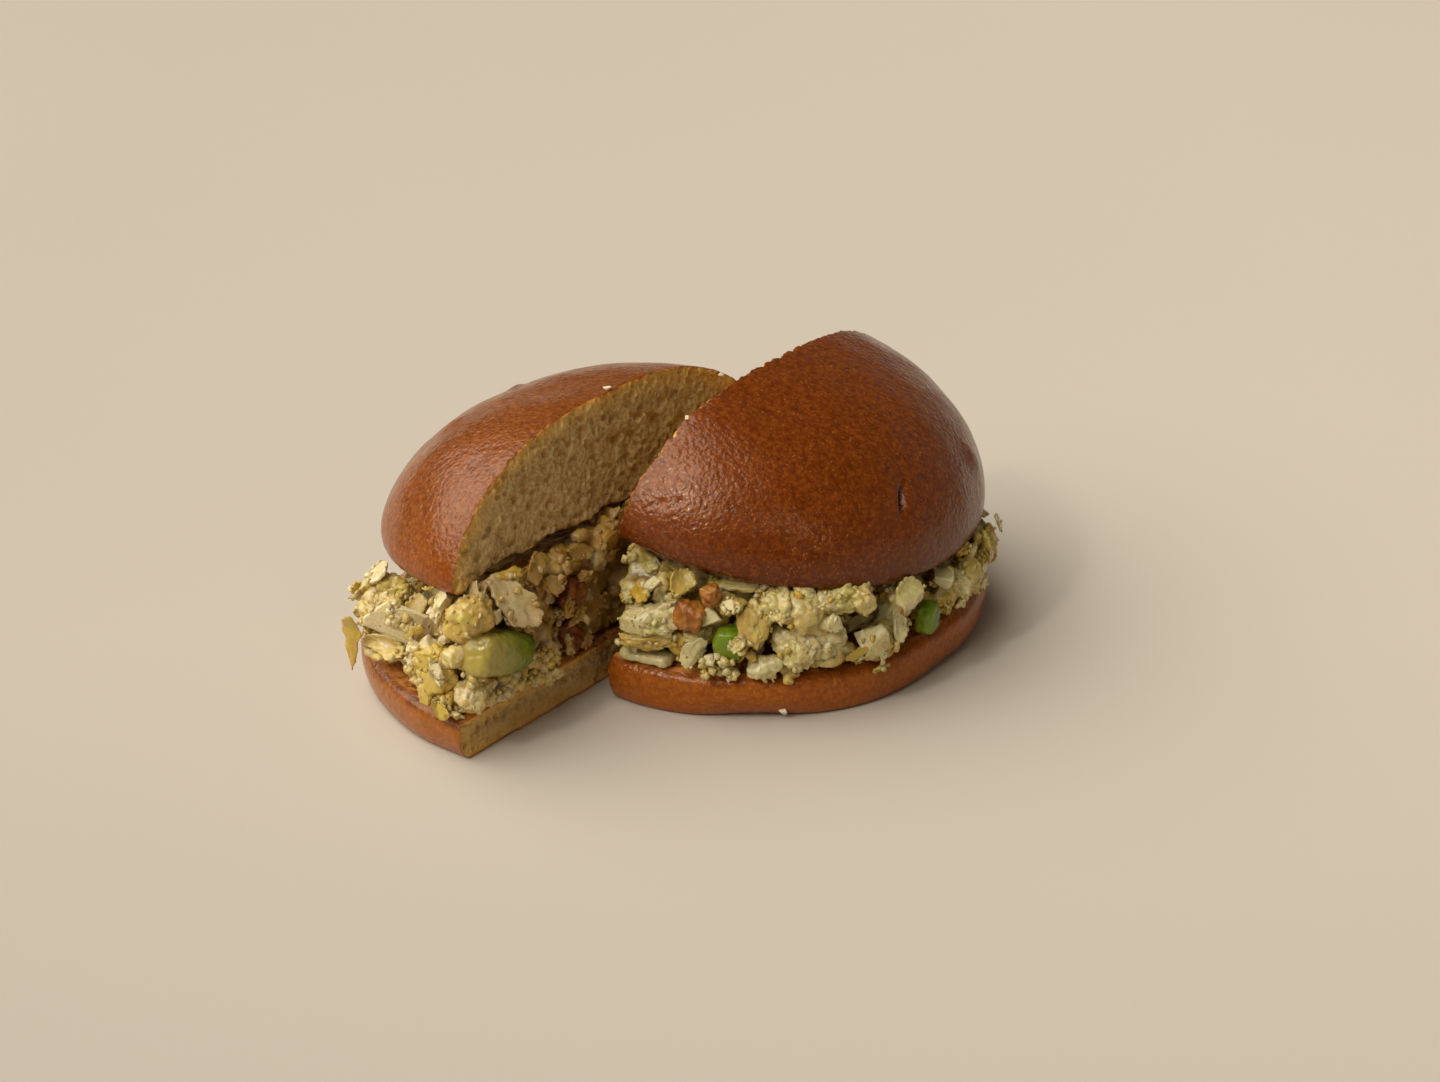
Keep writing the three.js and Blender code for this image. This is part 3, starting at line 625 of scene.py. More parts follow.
def build_base(side):
    half = HALVES[side]
    seed = half["seed"]
    height = half["base_height"]
    piece = new_ball(f"{side}_bottom_bun_baked")
    set_points(piece, from_half(half, base_shape(half, points_of(piece))))
    place, facing, on_cut = halve(piece, half, leaning=False, close=BASE_CLOSE)
    angle = np.arctan2(place[:, 1], place[:, 0])
    inward = base_reach(half, angle) - np.hypot(place[:, 0], place[:, 1])
    toast = smooth_step(facing[:, 2], 0.55, 0.9) * smooth_step(inward, 1.6, 3.2)
    toast *= smooth_step(place[:, 2], 8.4, 9.4)
    below_top = np.maximum(height - place[:, 2], 0) * 1.4
    rind = np.minimum(np.maximum(inward, 0), np.minimum(place[:, 2], below_top))
    pore = sink_crumb(place, on_cut, rind, seed + 50, [], 0.3)
    place[:, 2] += toast * swells(place, (0.45, 7, seed + 7), (0.28, 2.2, 8), (0.2, 1.1, 9))
    lifted = smooth_step(place[:, 2], 0.3, 1.5)
    skin = (1 - on_cut) * (1 - toast) * lifted * swells(place, (0.02, 1.6, 13), (0.08, 4, 14))
    place += facing * skin[:, None]
    set_points(piece, from_half(half, place))
    rolled = smooth_step(place[:, 2], height - 2.6, height - 0.9) * (1 - toast) * (1 - on_cut)
    scorched = np.clip(0.5 + 0.9 * waves(place, 5, seed + 10), 0, 1)
    paint(piece, crumb=on_cut, pore=pore, rind=rind, toast=toast, rim=1 - smooth_step(place[:, 2], 0, 9),
          burnt=rolled * scorched * half["burnt"])
    return piece


# Egg.

def taken(primitive):
    """The points and faces of an object that is only a start, and goes."""
    points = points_of(primitive)
    faces = faces_of(primitive)
    bpy.data.objects.remove(primitive)
    return points, faces


def plain_ball(subdivisions):
    bpy.ops.object.select_all(action="DESELECT")
    bpy.ops.mesh.primitive_ico_sphere_add(subdivisions=subdivisions, radius=1)
    return taken(bpy.context.object)


def block_ball():
    """A ball of 48 triangles, rounded from a block."""
    bpy.ops.object.select_all(action="DESELECT")
    bpy.ops.mesh.primitive_cube_add(size=2)
    bpy.ops.object.mode_set(mode="EDIT")
    bpy.ops.mesh.subdivide(number_cuts=1)
    bpy.ops.mesh.quads_convert_to_tris()
    bpy.ops.object.mode_set(mode="OBJECT")
    points, faces = taken(bpy.context.object)
    return points / np.linalg.norm(points, axis=1)[:, None], faces


def even_size(shape):
    """Scales a shape so that it reaches 1 along each axis."""
    middle = (shape.max(axis=0) + shape.min(axis=0)) / 2
    return (shape - middle) / (np.ptp(shape, axis=0) / 2)


def knobby_shape(ball, seed):
    """A clump of cooked egg: rounded grains with creases between them."""
    bent = ball + 0.2 * columns(*[waves(ball, 0.5, seed + k) for k in (1, 2, 3)])
    radius = 0.5 + 0.34 * waves(ball, 0.8, seed) + 0.34 * grains(bent, 0.44, seed)
    radius += 0.15 * grains(bent, 0.2, seed)
    radius += 0.06 * waves(ball, 0.2, seed + 4)
    return even_size(ball * radius[:, None])


def flake_shape(ball, seed):
    """A thin bent flake with a torn outline."""
    around = np.arctan2(ball[:, 1], ball[:, 0])
    ring = columns(np.cos(around), np.sin(around), 0 * around)
    outline = swells(ring, (0.3, 0.9, seed), (0.18, 0.33, seed + 1), (0.1, 0.15, seed + 2), start=1)
    out = np.hypot(ball[:, 0], ball[:, 1]) ** 0.7 * outline
    flat = even_size(columns(out * np.cos(around), out * np.sin(around), ball[:, 2]))
    level = columns(flat[:, :2], 0 * around)
    thick = 0.8 + 0.35 * waves(level, 0.6, seed + 3)
    fold = math.radians(50 * seed)
    across = flat[:, 0] * math.cos(fold) + flat[:, 1] * math.sin(fold)
    flat[:, 2] = np.sign(ball[:, 2]) * np.abs(ball[:, 2]) ** 0.4 * thick
    flat[:, 2] += swells(level, (0.8, 0.7, seed + 4), (0.25, 0.25, seed + 5), start=1.5 * across ** 2 - 0.5)
    return flat


def chunk_shape(ball, seed):
    """A chopped piece with flat sides and soft edges."""
    rng = random.Random(seed)
    shape = ball * 1.3
    sides = [(-1, 0, 0), (0, -1, 0), (0, 0, -1), (0, 0, 1), (0, 1, 0), (1, 0, 0)]
    for corner in sides + [tuple(rng.choice((-1, 1)) for _ in range(3)) for _ in range(4)]:
        normal = np.array(corner) + np.array([rng.uniform(-0.32, 0.32) for _ in range(3)])
        reach = rng.uniform(0.62, 0.8) if 0 in corner else rng.uniform(0.85, 1.0)
        normal /= np.linalg.norm(normal)
        over = np.maximum(shape @ normal - reach, 0)
        shape = shape - over[:, None] * normal
    relief = swells(ball, (0.06, 0.5, seed), (0.03, 0.2, seed)) + 0.05 * grains(ball, 0.24, seed)
    return even_size(shape * (1 + relief)[:, None])


def smooth_shape(ball, seed):
    """A soft lump with a few broad swellings."""
    swell = swells(ball, (0.42, 0.8, seed), (0.18, 0.35, seed)) + 0.2 * grains(ball, 0.8, seed)
    return even_size(ball * (1 + swell + 0.03 * waves(ball, 0.12, seed))[:, None])


def curd_shapes(ball):
    makers = {"knobby": knobby_shape, "flake": flake_shape, "chunk": chunk_shape, "smooth": smooth_shape}
    return {kind: [maker(ball, seed) for seed in range(1, SHAPES + 1)] for kind, maker in makers.items()}


def mesh_piece(name, points, faces):
    mesh = bpy.data.meshes.new(name)
    mesh.from_pydata(points.tolist(), [], faces.tolist())
    mesh.update()
    piece = bpy.data.objects.new(name, mesh)
    bpy.context.scene.collection.objects.link(piece)
    return piece


def node_mesh(node):
    """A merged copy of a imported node's mesh: its points in metres and its triangles."""
    copy = bpy.data.objects.new("copy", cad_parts[node].data.copy())
    bpy.context.scene.collection.objects.link(copy)
    only(copy)
    bpy.ops.object.mode_set(mode="EDIT")
    bpy.ops.mesh.select_all(action="SELECT")
    bpy.ops.mesh.remove_doubles(threshold=0.002 * MM)
    bpy.ops.object.mode_set(mode="OBJECT")
    return taken(copy)


def egg_ground(side):
    """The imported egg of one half, in that half's own place."""
    points, faces = node_mesh(f"{side}_egg_filling")
    place = to_half(HALVES[side], points)
    corners = place[faces]
    middle = corners.mean(axis=1)
    cross = np.cross(corners[:, 1] - corners[:, 0], corners[:, 2] - corners[:, 0])
    area = np.linalg.norm(cross, axis=1) / 2
    facing = cross / (2 * area[:, None] + 1e-9)
    upright = area * (np.abs(facing[:, 2]) < 0.8)
    high = middle[:, 2] > HALVES[side]["lip"] - 8
    return {"place": place, "faces": faces, "corners": corners, "middle": middle, "facing": facing,
            "cross": cross, "side": upright, "weight": upright * (1 + 1.2 * high)}


def facing_at(ground, spot, reach=4.5):
    """Which way the side of the egg faces around a spot."""
    away = np.linalg.norm(ground["middle"] - spot, axis=1)
    share = np.exp(-((away / reach) ** 2)) * (ground["side"] > 0)
    total = (ground["cross"] * share[:, None]).sum(axis=0)
    return total / np.linalg.norm(total)


def laid(ground, shape, spot, size, spin, proud):
    """Lays a shape on the side of the egg, turned in its plane, to stand so many millimetres proud."""
    normal = facing_at(ground, spot) + np.array([0, 0, LIFTED])
    normal /= np.linalg.norm(normal)
    up = np.array([0.0, 0.0, 1.0]) - normal * normal[2]
    up /= np.linalg.norm(up)
    aside = np.cross(up, normal)
    turn = math.radians(spin)
    first = aside * math.cos(turn) + up * math.sin(turn)
    second = up * math.cos(turn) - aside * math.sin(turn)
    return (shape * np.array(size)) @ np.array([first, second, normal]) + spot + normal * (proud - size[2])


def new_pile():
    return {"points": [], "faces": [], "tones": [], "deep": [], "count": 0}


# deep is a share of painted shade, given to the creases of the core.
def heap_on(pile, points, faces, tone, deep=0.0):
    pile["points"].append(points)
    pile["faces"].append(faces + pile["count"])
    pile["tones"].append(np.zeros(len(points)) + tone)
    pile["deep"].append(np.zeros(len(points)) + deep)
    pile["count"] += len(points)


def held_in(half, place):
    """Keeps egg under the crown, over the base and behind the knife's cut."""
    crown = to_crown(half, place)
    reach = np.abs(crown[:, 0] / half["depth"]) ** 2.2 + np.abs(crown[:, 1] / half["half_chord"]) ** 2.2
    crown[:, 2] = np.where(reach < 0.9, np.minimum(crown[:, 2], CROWN_GAP), crown[:, 2])
    place = from_crown(half, crown)
    edge = base_reach(half, np.arctan2(place[:, 1], place[:, 0]))
    out = np.hypot(place[:, 0], place[:, 1])
    place[:, :2] *= (np.minimum(out, edge + half["overhang"]) / out)[:, None]
    floor = half["base_height"] + BASE_GAP
    place[:, 2] = np.maximum(place[:, 2], np.where(out < edge - 1, floor, floor - DROOP))
    kept = place[:, 1] < half["spills_from"]
    place[:, 0] = np.where(kept, np.maximum(place[:, 0], -KNIFE_REACH), place[:, 0])
    return place


def mush_share(side, place):
    """Egg deep in the cut is browner and darker, partly soaked and partly painted shade between the halves
    and under the crown, but for the pale mash along the base.
    """
    if side == "right":
        return np.zeros(len(place))
    inner = (1 - smooth_step(place[:, 0], 3, 8)) * (1 - 0.5 * smooth_step(place[:, 1], 30, 42))
    inner *= 1 - smooth_step(place[:, 1], 53, 59)
    mash = (1 - smooth_step(place[:, 2], 16, 21)) * smooth_step(place[:, 1], 20, 28)
    return np.clip(inner * (1 - 0.7 * mash) * (0.85 + 0.5 * waves(place, 5, 31)), 0, 1)


def pile_piece(name, side, pile):
    half = HALVES[side]
    place = held_in(half, np.concatenate(pile["points"]))
    piece = mesh_piece(name, from_half(half, place), np.concatenate(pile["faces"]))
    tone = swells(place, (0.16, 1.6, 21), (0.12, 5, 22), start=np.concatenate(pile["tones"]))
    # The gap layer carries the painted shade of the core's creases.
    paint(piece, tone=np.clip(tone, 0, 1), mush=mush_share(side, place), gap=np.concatenate(pile["deep"]))
    return piece


def build_core(side, ground):
    """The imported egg, a little smaller and grained, as the body that the curds sit on."""
    half = HALVES[side]
    place = ground["place"]
    outward = np.zeros_like(place)
    for corner in range(3):
        np.add.at(outward, ground["faces"][:, corner], ground["cross"])
    outward /= np.linalg.norm(outward, axis=1)[:, None] + 1e-9
    sunk = np.where(place[:, :1] < 3, CORE_SUNK_AT_CUT, CORE_SUNK)
    core = mesh_piece(f"{side}_core", from_half(half, place - outward * sunk), ground["faces"])
    make_even(core, CORE_VOXEL)
    place = to_half(half, points_of(core))
    relief = 1.5 * grains(place, 3.0, 5) + 0.8 * grains(place, 1.7, 6) + 0.4 * waves(place, 5, 7) - 1.4
    place += (normals_of(core) @ turn_matrix(half)) * relief[:, None]
    tone = 0.4 + 0.5 * waves(place, 2.4, 8)
    # Painted shade in the creases between the grains.
    deep = CORE_CREASE_SHADE * (1 - smooth_step(relief, -0.7, 0.7))
    finish_with(core, "TRIANGULATE")
    return place, taken(core)[1], tone, deep


def spaced_spots(ground, rng, count, gap, avoid):
    """Random spots on the side of the egg, a gap apart or more, and clear of what is avoided."""
    spots = []
    for index in rng.choices(range(len(ground["side"])), weights=ground["weight"].tolist(), k=count * 14):
        shares = np.array([rng.random() for _ in range(3)])
        spot = (shares / shares.sum()) @ ground["corners"][index]
        if any(np.linalg.norm(spot - other) < gap for other in spots):
            continue
        if any(np.linalg.norm(spot - np.array(place)) < reach for place, reach in avoid):
            continue
        spots.append(spot)
        if len(spots) == count:
            break
    return spots


def any_turn(rng):
    return np.array(Euler([rng.uniform(-3.1, 3.1) for _ in range(3)]).to_matrix())


def lump_size(rng, long, wide, thick):
    """Three half sizes of a lump, from its longest and the ranges of the others' shares of it."""
    return long, long * rng.uniform(*wide), long * rng.uniform(*thick)


def kept_clear(side):
    """The places on a half that nothing is scattered over, each with its reach in millimetres."""
    clear = []
    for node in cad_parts:
        if node.startswith(side) and "bun" not in node and "filling" not in node:
            low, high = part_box(node)
            centre = to_half(HALVES[side], np.array([(low + high) / 2]))[0]
            clear.append((centre, (high - low).length / MM * NODE_CLEAR))
    for kind, place, size, _, _ in EGG_PLACES[side]:
        if kind != "mash":
            clear.append((place, max(size[0], size[1]) * PLACED_CLEAR))
    return clear + BARE_TOAST[side]


def lay_mash(bits, ground, rng, tiny, spot, size, spin, tone):
    """A patch of fine mash, of many tiny grains."""
    for _ in range(int(size[0] * size[1] * MASH_DENSITY)):
        way = rng.uniform(0, 2 * math.pi)
        share = math.sqrt(rng.random())
        grain = rng.uniform(0.5, 1.3)
        offset = np.array([[math.cos(way) * share, math.sin(way) * share, rng.uniform(-0.5, 0.5)]])
        centre = laid(ground, offset, spot, size, spin, size[2] + 0.3)[0]
        heap_on(bits, tiny[0] @ any_turn(rng) * grain + centre, tiny[1], tone + rng.uniform(-0.2, 0.25))


def lay_ledge(curds, half, gap, ground, rng, plain):
    """The row of curds along the cut under the crown, set back where the dark gap is."""
    shapes, faces = plain
    at, end = (share * half["half_chord"] for share in LEDGE_ENDS)
    while at < end:
        at += rng.uniform(*LEDGE_STEPS)
        back = LEDGE_BACK if gap[0] < at < gap[1] else 0
        spot = np.array([rng.uniform(1, 3) + back, at, half["lip"] + rng.uniform(-2.4, 1.4)])
        size = lump_size(rng, rng.uniform(*LEDGE_LENGTHS), (0.5, 0.8), (0.4, 0.7))
        shape = shapes[rng.choice(("knobby", "knobby", "smooth", "flake"))][rng.randrange(SHAPES)]
        points = laid(ground, shape, spot, size, rng.uniform(-60, 60), rng.uniform(0.2, 1.2))
        heap_on(curds, points, faces, rng.choice((0.2, 0.35, 0.5, 0.8)))


def build_egg(side, fine, plain, coarse, tiny):
    """All the cooked egg of one half: clumps on a core, flakes and chopped white, and loose bits."""
    half = HALVES[side]
    rng = random.Random(half["seed"] + 100)
    ground = egg_ground(side)
    clear = kept_clear(side)
    curds, clumps, flakes, bits = (new_pile() for _ in range(4))
    heap_on(curds, *build_core(side, ground))
    for kind, spot, size, spin, tone in EGG_PLACES[side]:
        spot = np.array(spot, dtype=float)
        if kind == "mash":
            lay_mash(bits, ground, rng, tiny, spot, size, spin, tone)
            continue
        shapes, faces = fine if max(size) >= FINE_FROM else plain
        pile = clumps if kind in ("knobby", "smooth") else flakes
        proud = KNOBBY_PROUD if kind == "knobby" else FLAT_PROUD
        shape = shapes[kind][rng.randrange(SHAPES)]
        heap_on(pile, laid(ground, shape, spot, size, spin, proud), faces, tone)
    lay_ledge(curds, half, LEDGE_GAP[side], ground, rng, plain)

    for name, (count, gap, lengths, proud, tones) in CLUMPS.items():
        pile = curds if name == "small" else clumps
        for spot in spaced_spots(ground, rng, count, gap, clear):
            size = lump_size(rng, rng.uniform(*lengths), (0.5, 0.9), (0.5, 0.8))
            shapes, faces = coarse if name == "fill" else fine if size[0] > FINE_CLUMP else plain
            shape = even_size(shapes["knobby"][rng.randrange(SHAPES)] @ any_turn(rng))
            points = laid(ground, shape, spot, size, rng.uniform(0, 180), rng.uniform(*proud))
            heap_on(pile, points, faces, rng.choice(tones))
    shapes, faces = plain
    for kind, (count, gap, sizes, proud, tones) in LOOSE.items():
        for spot in spaced_spots(ground, rng, count, gap, clear):
            size = [rng.uniform(*bounds) for bounds in sizes]
            shape = shapes[kind][rng.randrange(SHAPES)]
            points = laid(ground, shape, spot, size, rng.uniform(0, 180), rng.uniform(*proud))
            heap_on(flakes, points, faces, rng.choice(tones))

    piles = {"curds": curds, "clumps": clumps, "flakes": flakes}
    made = [pile_piece(f"{side}_egg_{name}", side, pile) for name, pile in piles.items()]
    for spot, normal in outer_spots(side, ground, made, rng, LOOSE_BITS):
        grain = 0.36 + 0.8 * rng.random() ** 2
        squash = np.array([1, rng.uniform(0.4, 0.9), rng.uniform(0.25, 0.7)])
        shape = (tiny[0] * squash * grain) @ any_turn(rng)
        tone = rng.choice((0.1, 0.2, 0.3, 0.45, 0.65))
        heap_on(bits, shape + spot + normal * grain * 0.3, tiny[1], tone)
    made.append(pile_piece(f"{side}_egg_bits", side, bits))
    return made, outer_spots(side, ground, made, rng, PEPPER_SPECKS)


def outer_spots(side, ground, pieces, rng, count):
    """Random points on the pieces of egg, with the way they face, where they are open to view."""
    half = HALVES[side]
    points = np.concatenate([to_half(half, points_of(piece)) for piece in pieces])
    normals = np.concatenate([normals_of(piece) @ turn_matrix(half) for piece in pieces])
    tree = tree_of(ground["middle"])
    chosen = []
    for _ in range(count * 12):
        k = rng.randrange(len(points))
        _, index, _ = tree.find(points[k])
        facing = ground["facing"][index]
        height = float((points[k] - ground["middle"][index]) @ facing)
        if ground["side"][index] > 0 and height > -0.6 and normals[k] @ facing > 0.3:
            chosen.append((points[k], normals[k]))
        if len(chosen) == count:
            break
    return chosen


def build_pepper(side, spots, speck):
    """Ground pepper: dark angular specks that lie on the egg."""
    rng = random.Random(HALVES[side]["seed"] + 300)
    pepper = new_pile()
    for spot, normal in spots:
        lay = np.array(Vector(normal).to_track_quat("Z", "Y").to_matrix()).T
        size = np.array([rng.uniform(*bounds) for bounds in PEPPER_SIZES])
        turn = np.array(Euler((0, 0, rng.uniform(0, 6.3))).to_matrix())
        heap_on(pepper, (speck[0] * size) @ turn @ lay + spot + normal * 0.04, speck[1], 0)
    return loose_piece(f"{side}_pepper", side, pepper)


def build_crumbs(side, crumb, faces):
    """White crumbs that lie on the crust."""
    rng = random.Random(HALVES[side]["seed"] + 400)
    crumbs = new_pile()
    for spot, size in CRUST_CRUMBS[side]:
        heap_on(crumbs, (crumb * np.array(size)) @ any_turn(rng) + np.array(spot), faces, 0)
    return loose_piece(f"{side}_crust_crumbs", side, crumbs)


def loose_piece(name, side, pile):
    points = from_half(HALVES[side], np.concatenate(pile["points"]))
    return mesh_piece(name, points, np.concatenate(pile["faces"]))


# Avocado, tomato, slab and strip.

def build_cut_piece(node, seed, rough, soft):
    """A chopped piece of avocado or tomato, or a plate of egg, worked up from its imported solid."""
    points, faces = node_mesh(node)
    piece = mesh_piece(f"{node}_piece", points, faces)
    make_even(piece, PIECE_VOXEL)
    finish_with(piece, "SMOOTH", factor=0.5, iterations=soft)
    finish_with(piece, "SUBSURF", levels=1, render_levels=1)
    place = points_of(piece) / MM
    relief = swells(place, (1, 3.2, seed), (0.7, 1.2, seed + 1)) - 0.3
    place += normals_of(piece) * (rough * relief)[:, None]
    set_points(piece, place * MM)
    return piece


def build_sliver(node, ball, faces):
    """A ragged strip of egg that hangs down, broad and bent over at its top."""
    low, high = (np.array(corner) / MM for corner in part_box(node))
    middle, reach = (low + high) / 2, (high - low) / 2
    across, drop, thick = flake_shape(ball, 3).T
    ragged = 0.2 * waves(columns(np.sign(across), drop, 0 * drop), 0.3, 4)
    narrow = 0.6 + 0.5 * smooth_step(drop, -0.2, 0.5) + ragged
    place = columns(
        across * narrow * reach[0] * 1.05,
        thick * 0.32 - 1.2 * smooth_step(drop, 0.4, 1) + 0.5 * across * drop,
        drop * reach[2],
    )
    return mesh_piece(f"{node}_piece", (place + middle) * MM, faces)


# Materials.

def new_material(name, **sockets):
    material = bpy.data.materials.new(name)
    material.use_nodes = True
    shader = material.node_tree.nodes["Principled BSDF"]
    for socket, value in sockets.items():
        shader.inputs[socket.replace("_", " ").title().replace("Ior", "IOR")].default_value = value
    return material, material.node_tree


def add_node(tree, kind, inputs=None, **settings):
    node = tree.nodes.new(kind)
    for key, value in settings.items():
        setattr(node, key, value)
    for key, value in (inputs or {}).items():
        if isinstance(value, bpy.types.NodeSocket):
            tree.links.new(value, node.inputs[key])
        else:
            node.inputs[key].default_value = value
    return node


def colour(red, green, blue):
    """A colour from its screen values, 0 to 255."""
    def light(v):
        v /= 255
        return v / 12.92 if v <= 0.04045 else ((v + 0.055) / 1.055) ** 2.4
    return (light(red), light(green), light(blue), 1)


def object_place(tree):
    node = tree.nodes.get("place") or add_node(tree, "ShaderNodeTexCoord", name="place")
    return node.outputs["Object"]


def along(tree, direction, vector=None):
    """How far a place lies in a direction."""
    inputs = {0: vector or object_place(tree), 1: direction}
    return add_node(tree, "ShaderNodeVectorMath", inputs, operation="DOT_PRODUCT").outputs["Value"]


def clouds(tree, per_mm, detail=3, roughness=0.6):
    inputs = {"Vector": object_place(tree), "Scale": per_mm / MM, "Detail": detail, "Roughness": roughness}
    return add_node(tree, "ShaderNodeTexNoise", inputs).outputs["Fac"]


def dots(tree, per_mm):
    inputs = {"Vector": object_place(tree), "Scale": per_mm / MM}
    return add_node(tree, "ShaderNodeTexVoronoi", inputs, feature="F1").outputs["Distance"]


def stretch(tree, value, low, high, to_low=0.0, to_high=1.0):
    inputs = {"Value": value, "From Min": low, "From Max": high, "To Min": to_low, "To Max": to_high}
    return add_node(tree, "ShaderNodeMapRange", inputs).outputs["Result"]


def blend(tree, part, first, second):
    return add_node(tree, "ShaderNodeMix", {0: part, 6: first, 7: second}, data_type="RGBA").outputs[2]


def maths(tree, operation, first, second):
    return add_node(tree, "ShaderNodeMath", {0: first, 1: second}, operation=operation).outputs[0]


def times(tree, first, second):
    return maths(tree, "MULTIPLY", first, second)


def most(tree, first, second):
    return maths(tree, "MAXIMUM", first, second)


def painted(tree, name):
    return add_node(tree, "ShaderNodeAttribute", attribute_name=name).outputs["Fac"]


def cover(tree, base, rough, *reliefs):
    """Links a finish's colour, its roughness, and layers of relief: each a value and its height."""
    shader = tree.nodes["Principled BSDF"]
    tree.links.new(base, shader.inputs["Base Color"])
    if rough:
        tree.links.new(rough, shader.inputs["Roughness"])
    before = None
    for value, height in reliefs:
        inputs = {"Height": value, "Distance": height * MM, "Strength": 1.0}
        if before:
            inputs["Normal"] = before
        before = add_node(tree, "ShaderNodeBump", inputs).outputs["Normal"]
    if before:
        tree.links.new(before, shader.inputs["Normal"])


def bread_material(name, shine, deep, mid, pale, rim, glint, painted_sheen):
    """Baked crust with a thin golden edge at the cut, and the crumb and toasted faces of the same bun."""
    material, tree = new_material(name, specular_ior_level=shine, specular_tint=(1.0, 0.86, 0.68, 1))
    crumb = painted(tree, "crumb")
    rind = painted(tree, "rind")
    toast = painted(tree, "toast")
    wrinkled = painted(tree, "wrinkled")
    burnt = painted(tree, "burnt")

    crust = blend(tree, stretch(tree, clouds(tree, 0.045, 4, 0.55), 0.36, 0.66), mid, deep)
    crust = blend(tree, stretch(tree, clouds(tree, 0.5, 4), 0.32, 0.7, 0, 0.5), crust, pale)
    crust = blend(tree, times(tree, painted(tree, "rim"), 0.85), crust, rim)
    # Painted highlights on the tops of small pebbles and painted shade between them, in the crust's colour.
    pebble_glint_and_shade = clouds(tree, 0.85, 3, 0.75)
    crust = blend(tree, stretch(tree, pebble_glint_and_shade, 0.5, 0.62, 0, 0.5), crust, pale)
    crust = blend(tree, stretch(tree, pebble_glint_and_shade, 0.38, 0.49, 0.45, 0), crust, deep)
    # Painted sheen: a paler colour over the wrinkled patch stands in for the crust's highlight.
    sheen_breakup = stretch(tree, clouds(tree, 0.7), 0.34, 0.6, 0.35, 1)
    crust = blend(tree, times(tree, times(tree, wrinkled, painted_sheen), sheen_breakup), crust, colour(172, 106, 68))
    # Dark scorch on the base's rolled rim, and painted shade in the crown's slit.
    crust = blend(tree, burnt, crust, colour(72, 27, 10))
    # Painted glints: small bright golden dots in the crust's colour.
    speck = stretch(tree, dots(tree, 0.9), 0.1, 0.26, 1, 0)
    speck = times(tree, speck, stretch(tree, clouds(tree, 0.3), 0.45, 0.6))
    crust = blend(tree, times(tree, speck, glint), crust, colour(232, 158, 76))

    grain = stretch(tree, clouds(tree, 0.9, 4, 0.65), 0.3, 0.72)
    inner = blend(tree, grain, colour(172, 137, 80), colour(217, 184, 126))
    # Painted shade: darker and browner towards the bottoms of the pores.
    inner = blend(tree, stretch(tree, painted(tree, "pore"), 0.15, 1.2), inner, colour(176, 130, 66))
    inner = blend(tree, stretch(tree, rind, 1.2, 5.5), colour(222, 176, 96), inner)
    inner = blend(tree, stretch(tree, rind, 0.2, 0.9), colour(196, 116, 34), inner)
    char = stretch(tree, clouds(tree, 0.33, 4), 0.46, 0.64)
    toasted = blend(tree, char, colour(210, 138, 60), colour(130, 64, 16))
    base = blend(tree, toast, blend(tree, crumb, crust, inner), toasted)

    dull = most(tree, crumb, toast)
    rough = stretch(tree, clouds(tree, 0.15), 0.3, 0.7, 0.16, 0.26)
    rough = times(tree, rough, stretch(tree, wrinkled, 0, 1, 1, 0.65))
    rough = most(tree, rough, times(tree, dull, 0.9))
    rough = most(tree, rough, stretch(tree, burnt, 0.86, 1, 0, 0.8))
    pits = times(tree, clouds(tree, 0.95, 2, 0.4), stretch(tree, wrinkled, 0, 1, 1, 2.2))
    cover(tree, base, rough, (clouds(tree, 0.25, 2, 0.5), 0.16), (pits, 0.24),
          (times(tree, clouds(tree, 0.9), dull), 0.7))
    return material


def egg_material(name, white, cream, yolk):
    material, tree = new_material(name, subsurface_weight=0.15, subsurface_scale=0.001,
                                  subsurface_radius=(1.0, 0.8, 0.35), specular_ior_level=0.5)
    grain = stretch(tree, clouds(tree, 1.1, 4), 0.3, 0.7, -0.26, 0.26)
    tone = maths(tree, "ADD", painted(tree, "tone"), grain)
    base = blend(tree, stretch(tree, tone, 0.05, 0.5), white, cream)
    base = blend(tree, stretch(tree, tone, 0.45, 1.0), base, yolk)
    smear = stretch(tree, clouds(tree, 0.16), 0.52, 0.66, 0, 0.3)
    base = blend(tree, smear, base, colour(186, 184, 78))
    # A soaked brown with painted shade, for egg deep in the cut.
    base = blend(tree, times(tree, painted(tree, "mush"), 0.9), base, colour(164, 116, 36))
    # Painted shade in the creases of the core.
    base = blend(tree, painted(tree, "gap"), base, colour(104, 70, 16))
    wet = stretch(tree, clouds(tree, 0.25), 0.35, 0.65, 0.13, 0.38)
    cover(tree, base, wet, (clouds(tree, 0.9, 3, 0.55), 0.22), (clouds(tree, 2.4, 2), 0.04))
    return material


def crumb_material():
    material, tree = new_material("loose_crumbs", roughness=0.8, specular_ior_level=0.3)
    base = blend(tree, clouds(tree, 1.2), colour(226, 202, 156), colour(246, 234, 206))
    cover(tree, base, None, (clouds(tree, 2.0), 0.3))
    return material


def pepper_material():
    material, tree = new_material("ground_pepper", roughness=0.6, specular_ior_level=0.3)
    cover(tree, blend(tree, clouds(tree, 0.4, 2, 0.5), colour(30, 24, 16), colour(96, 72, 44)), None)
    return material


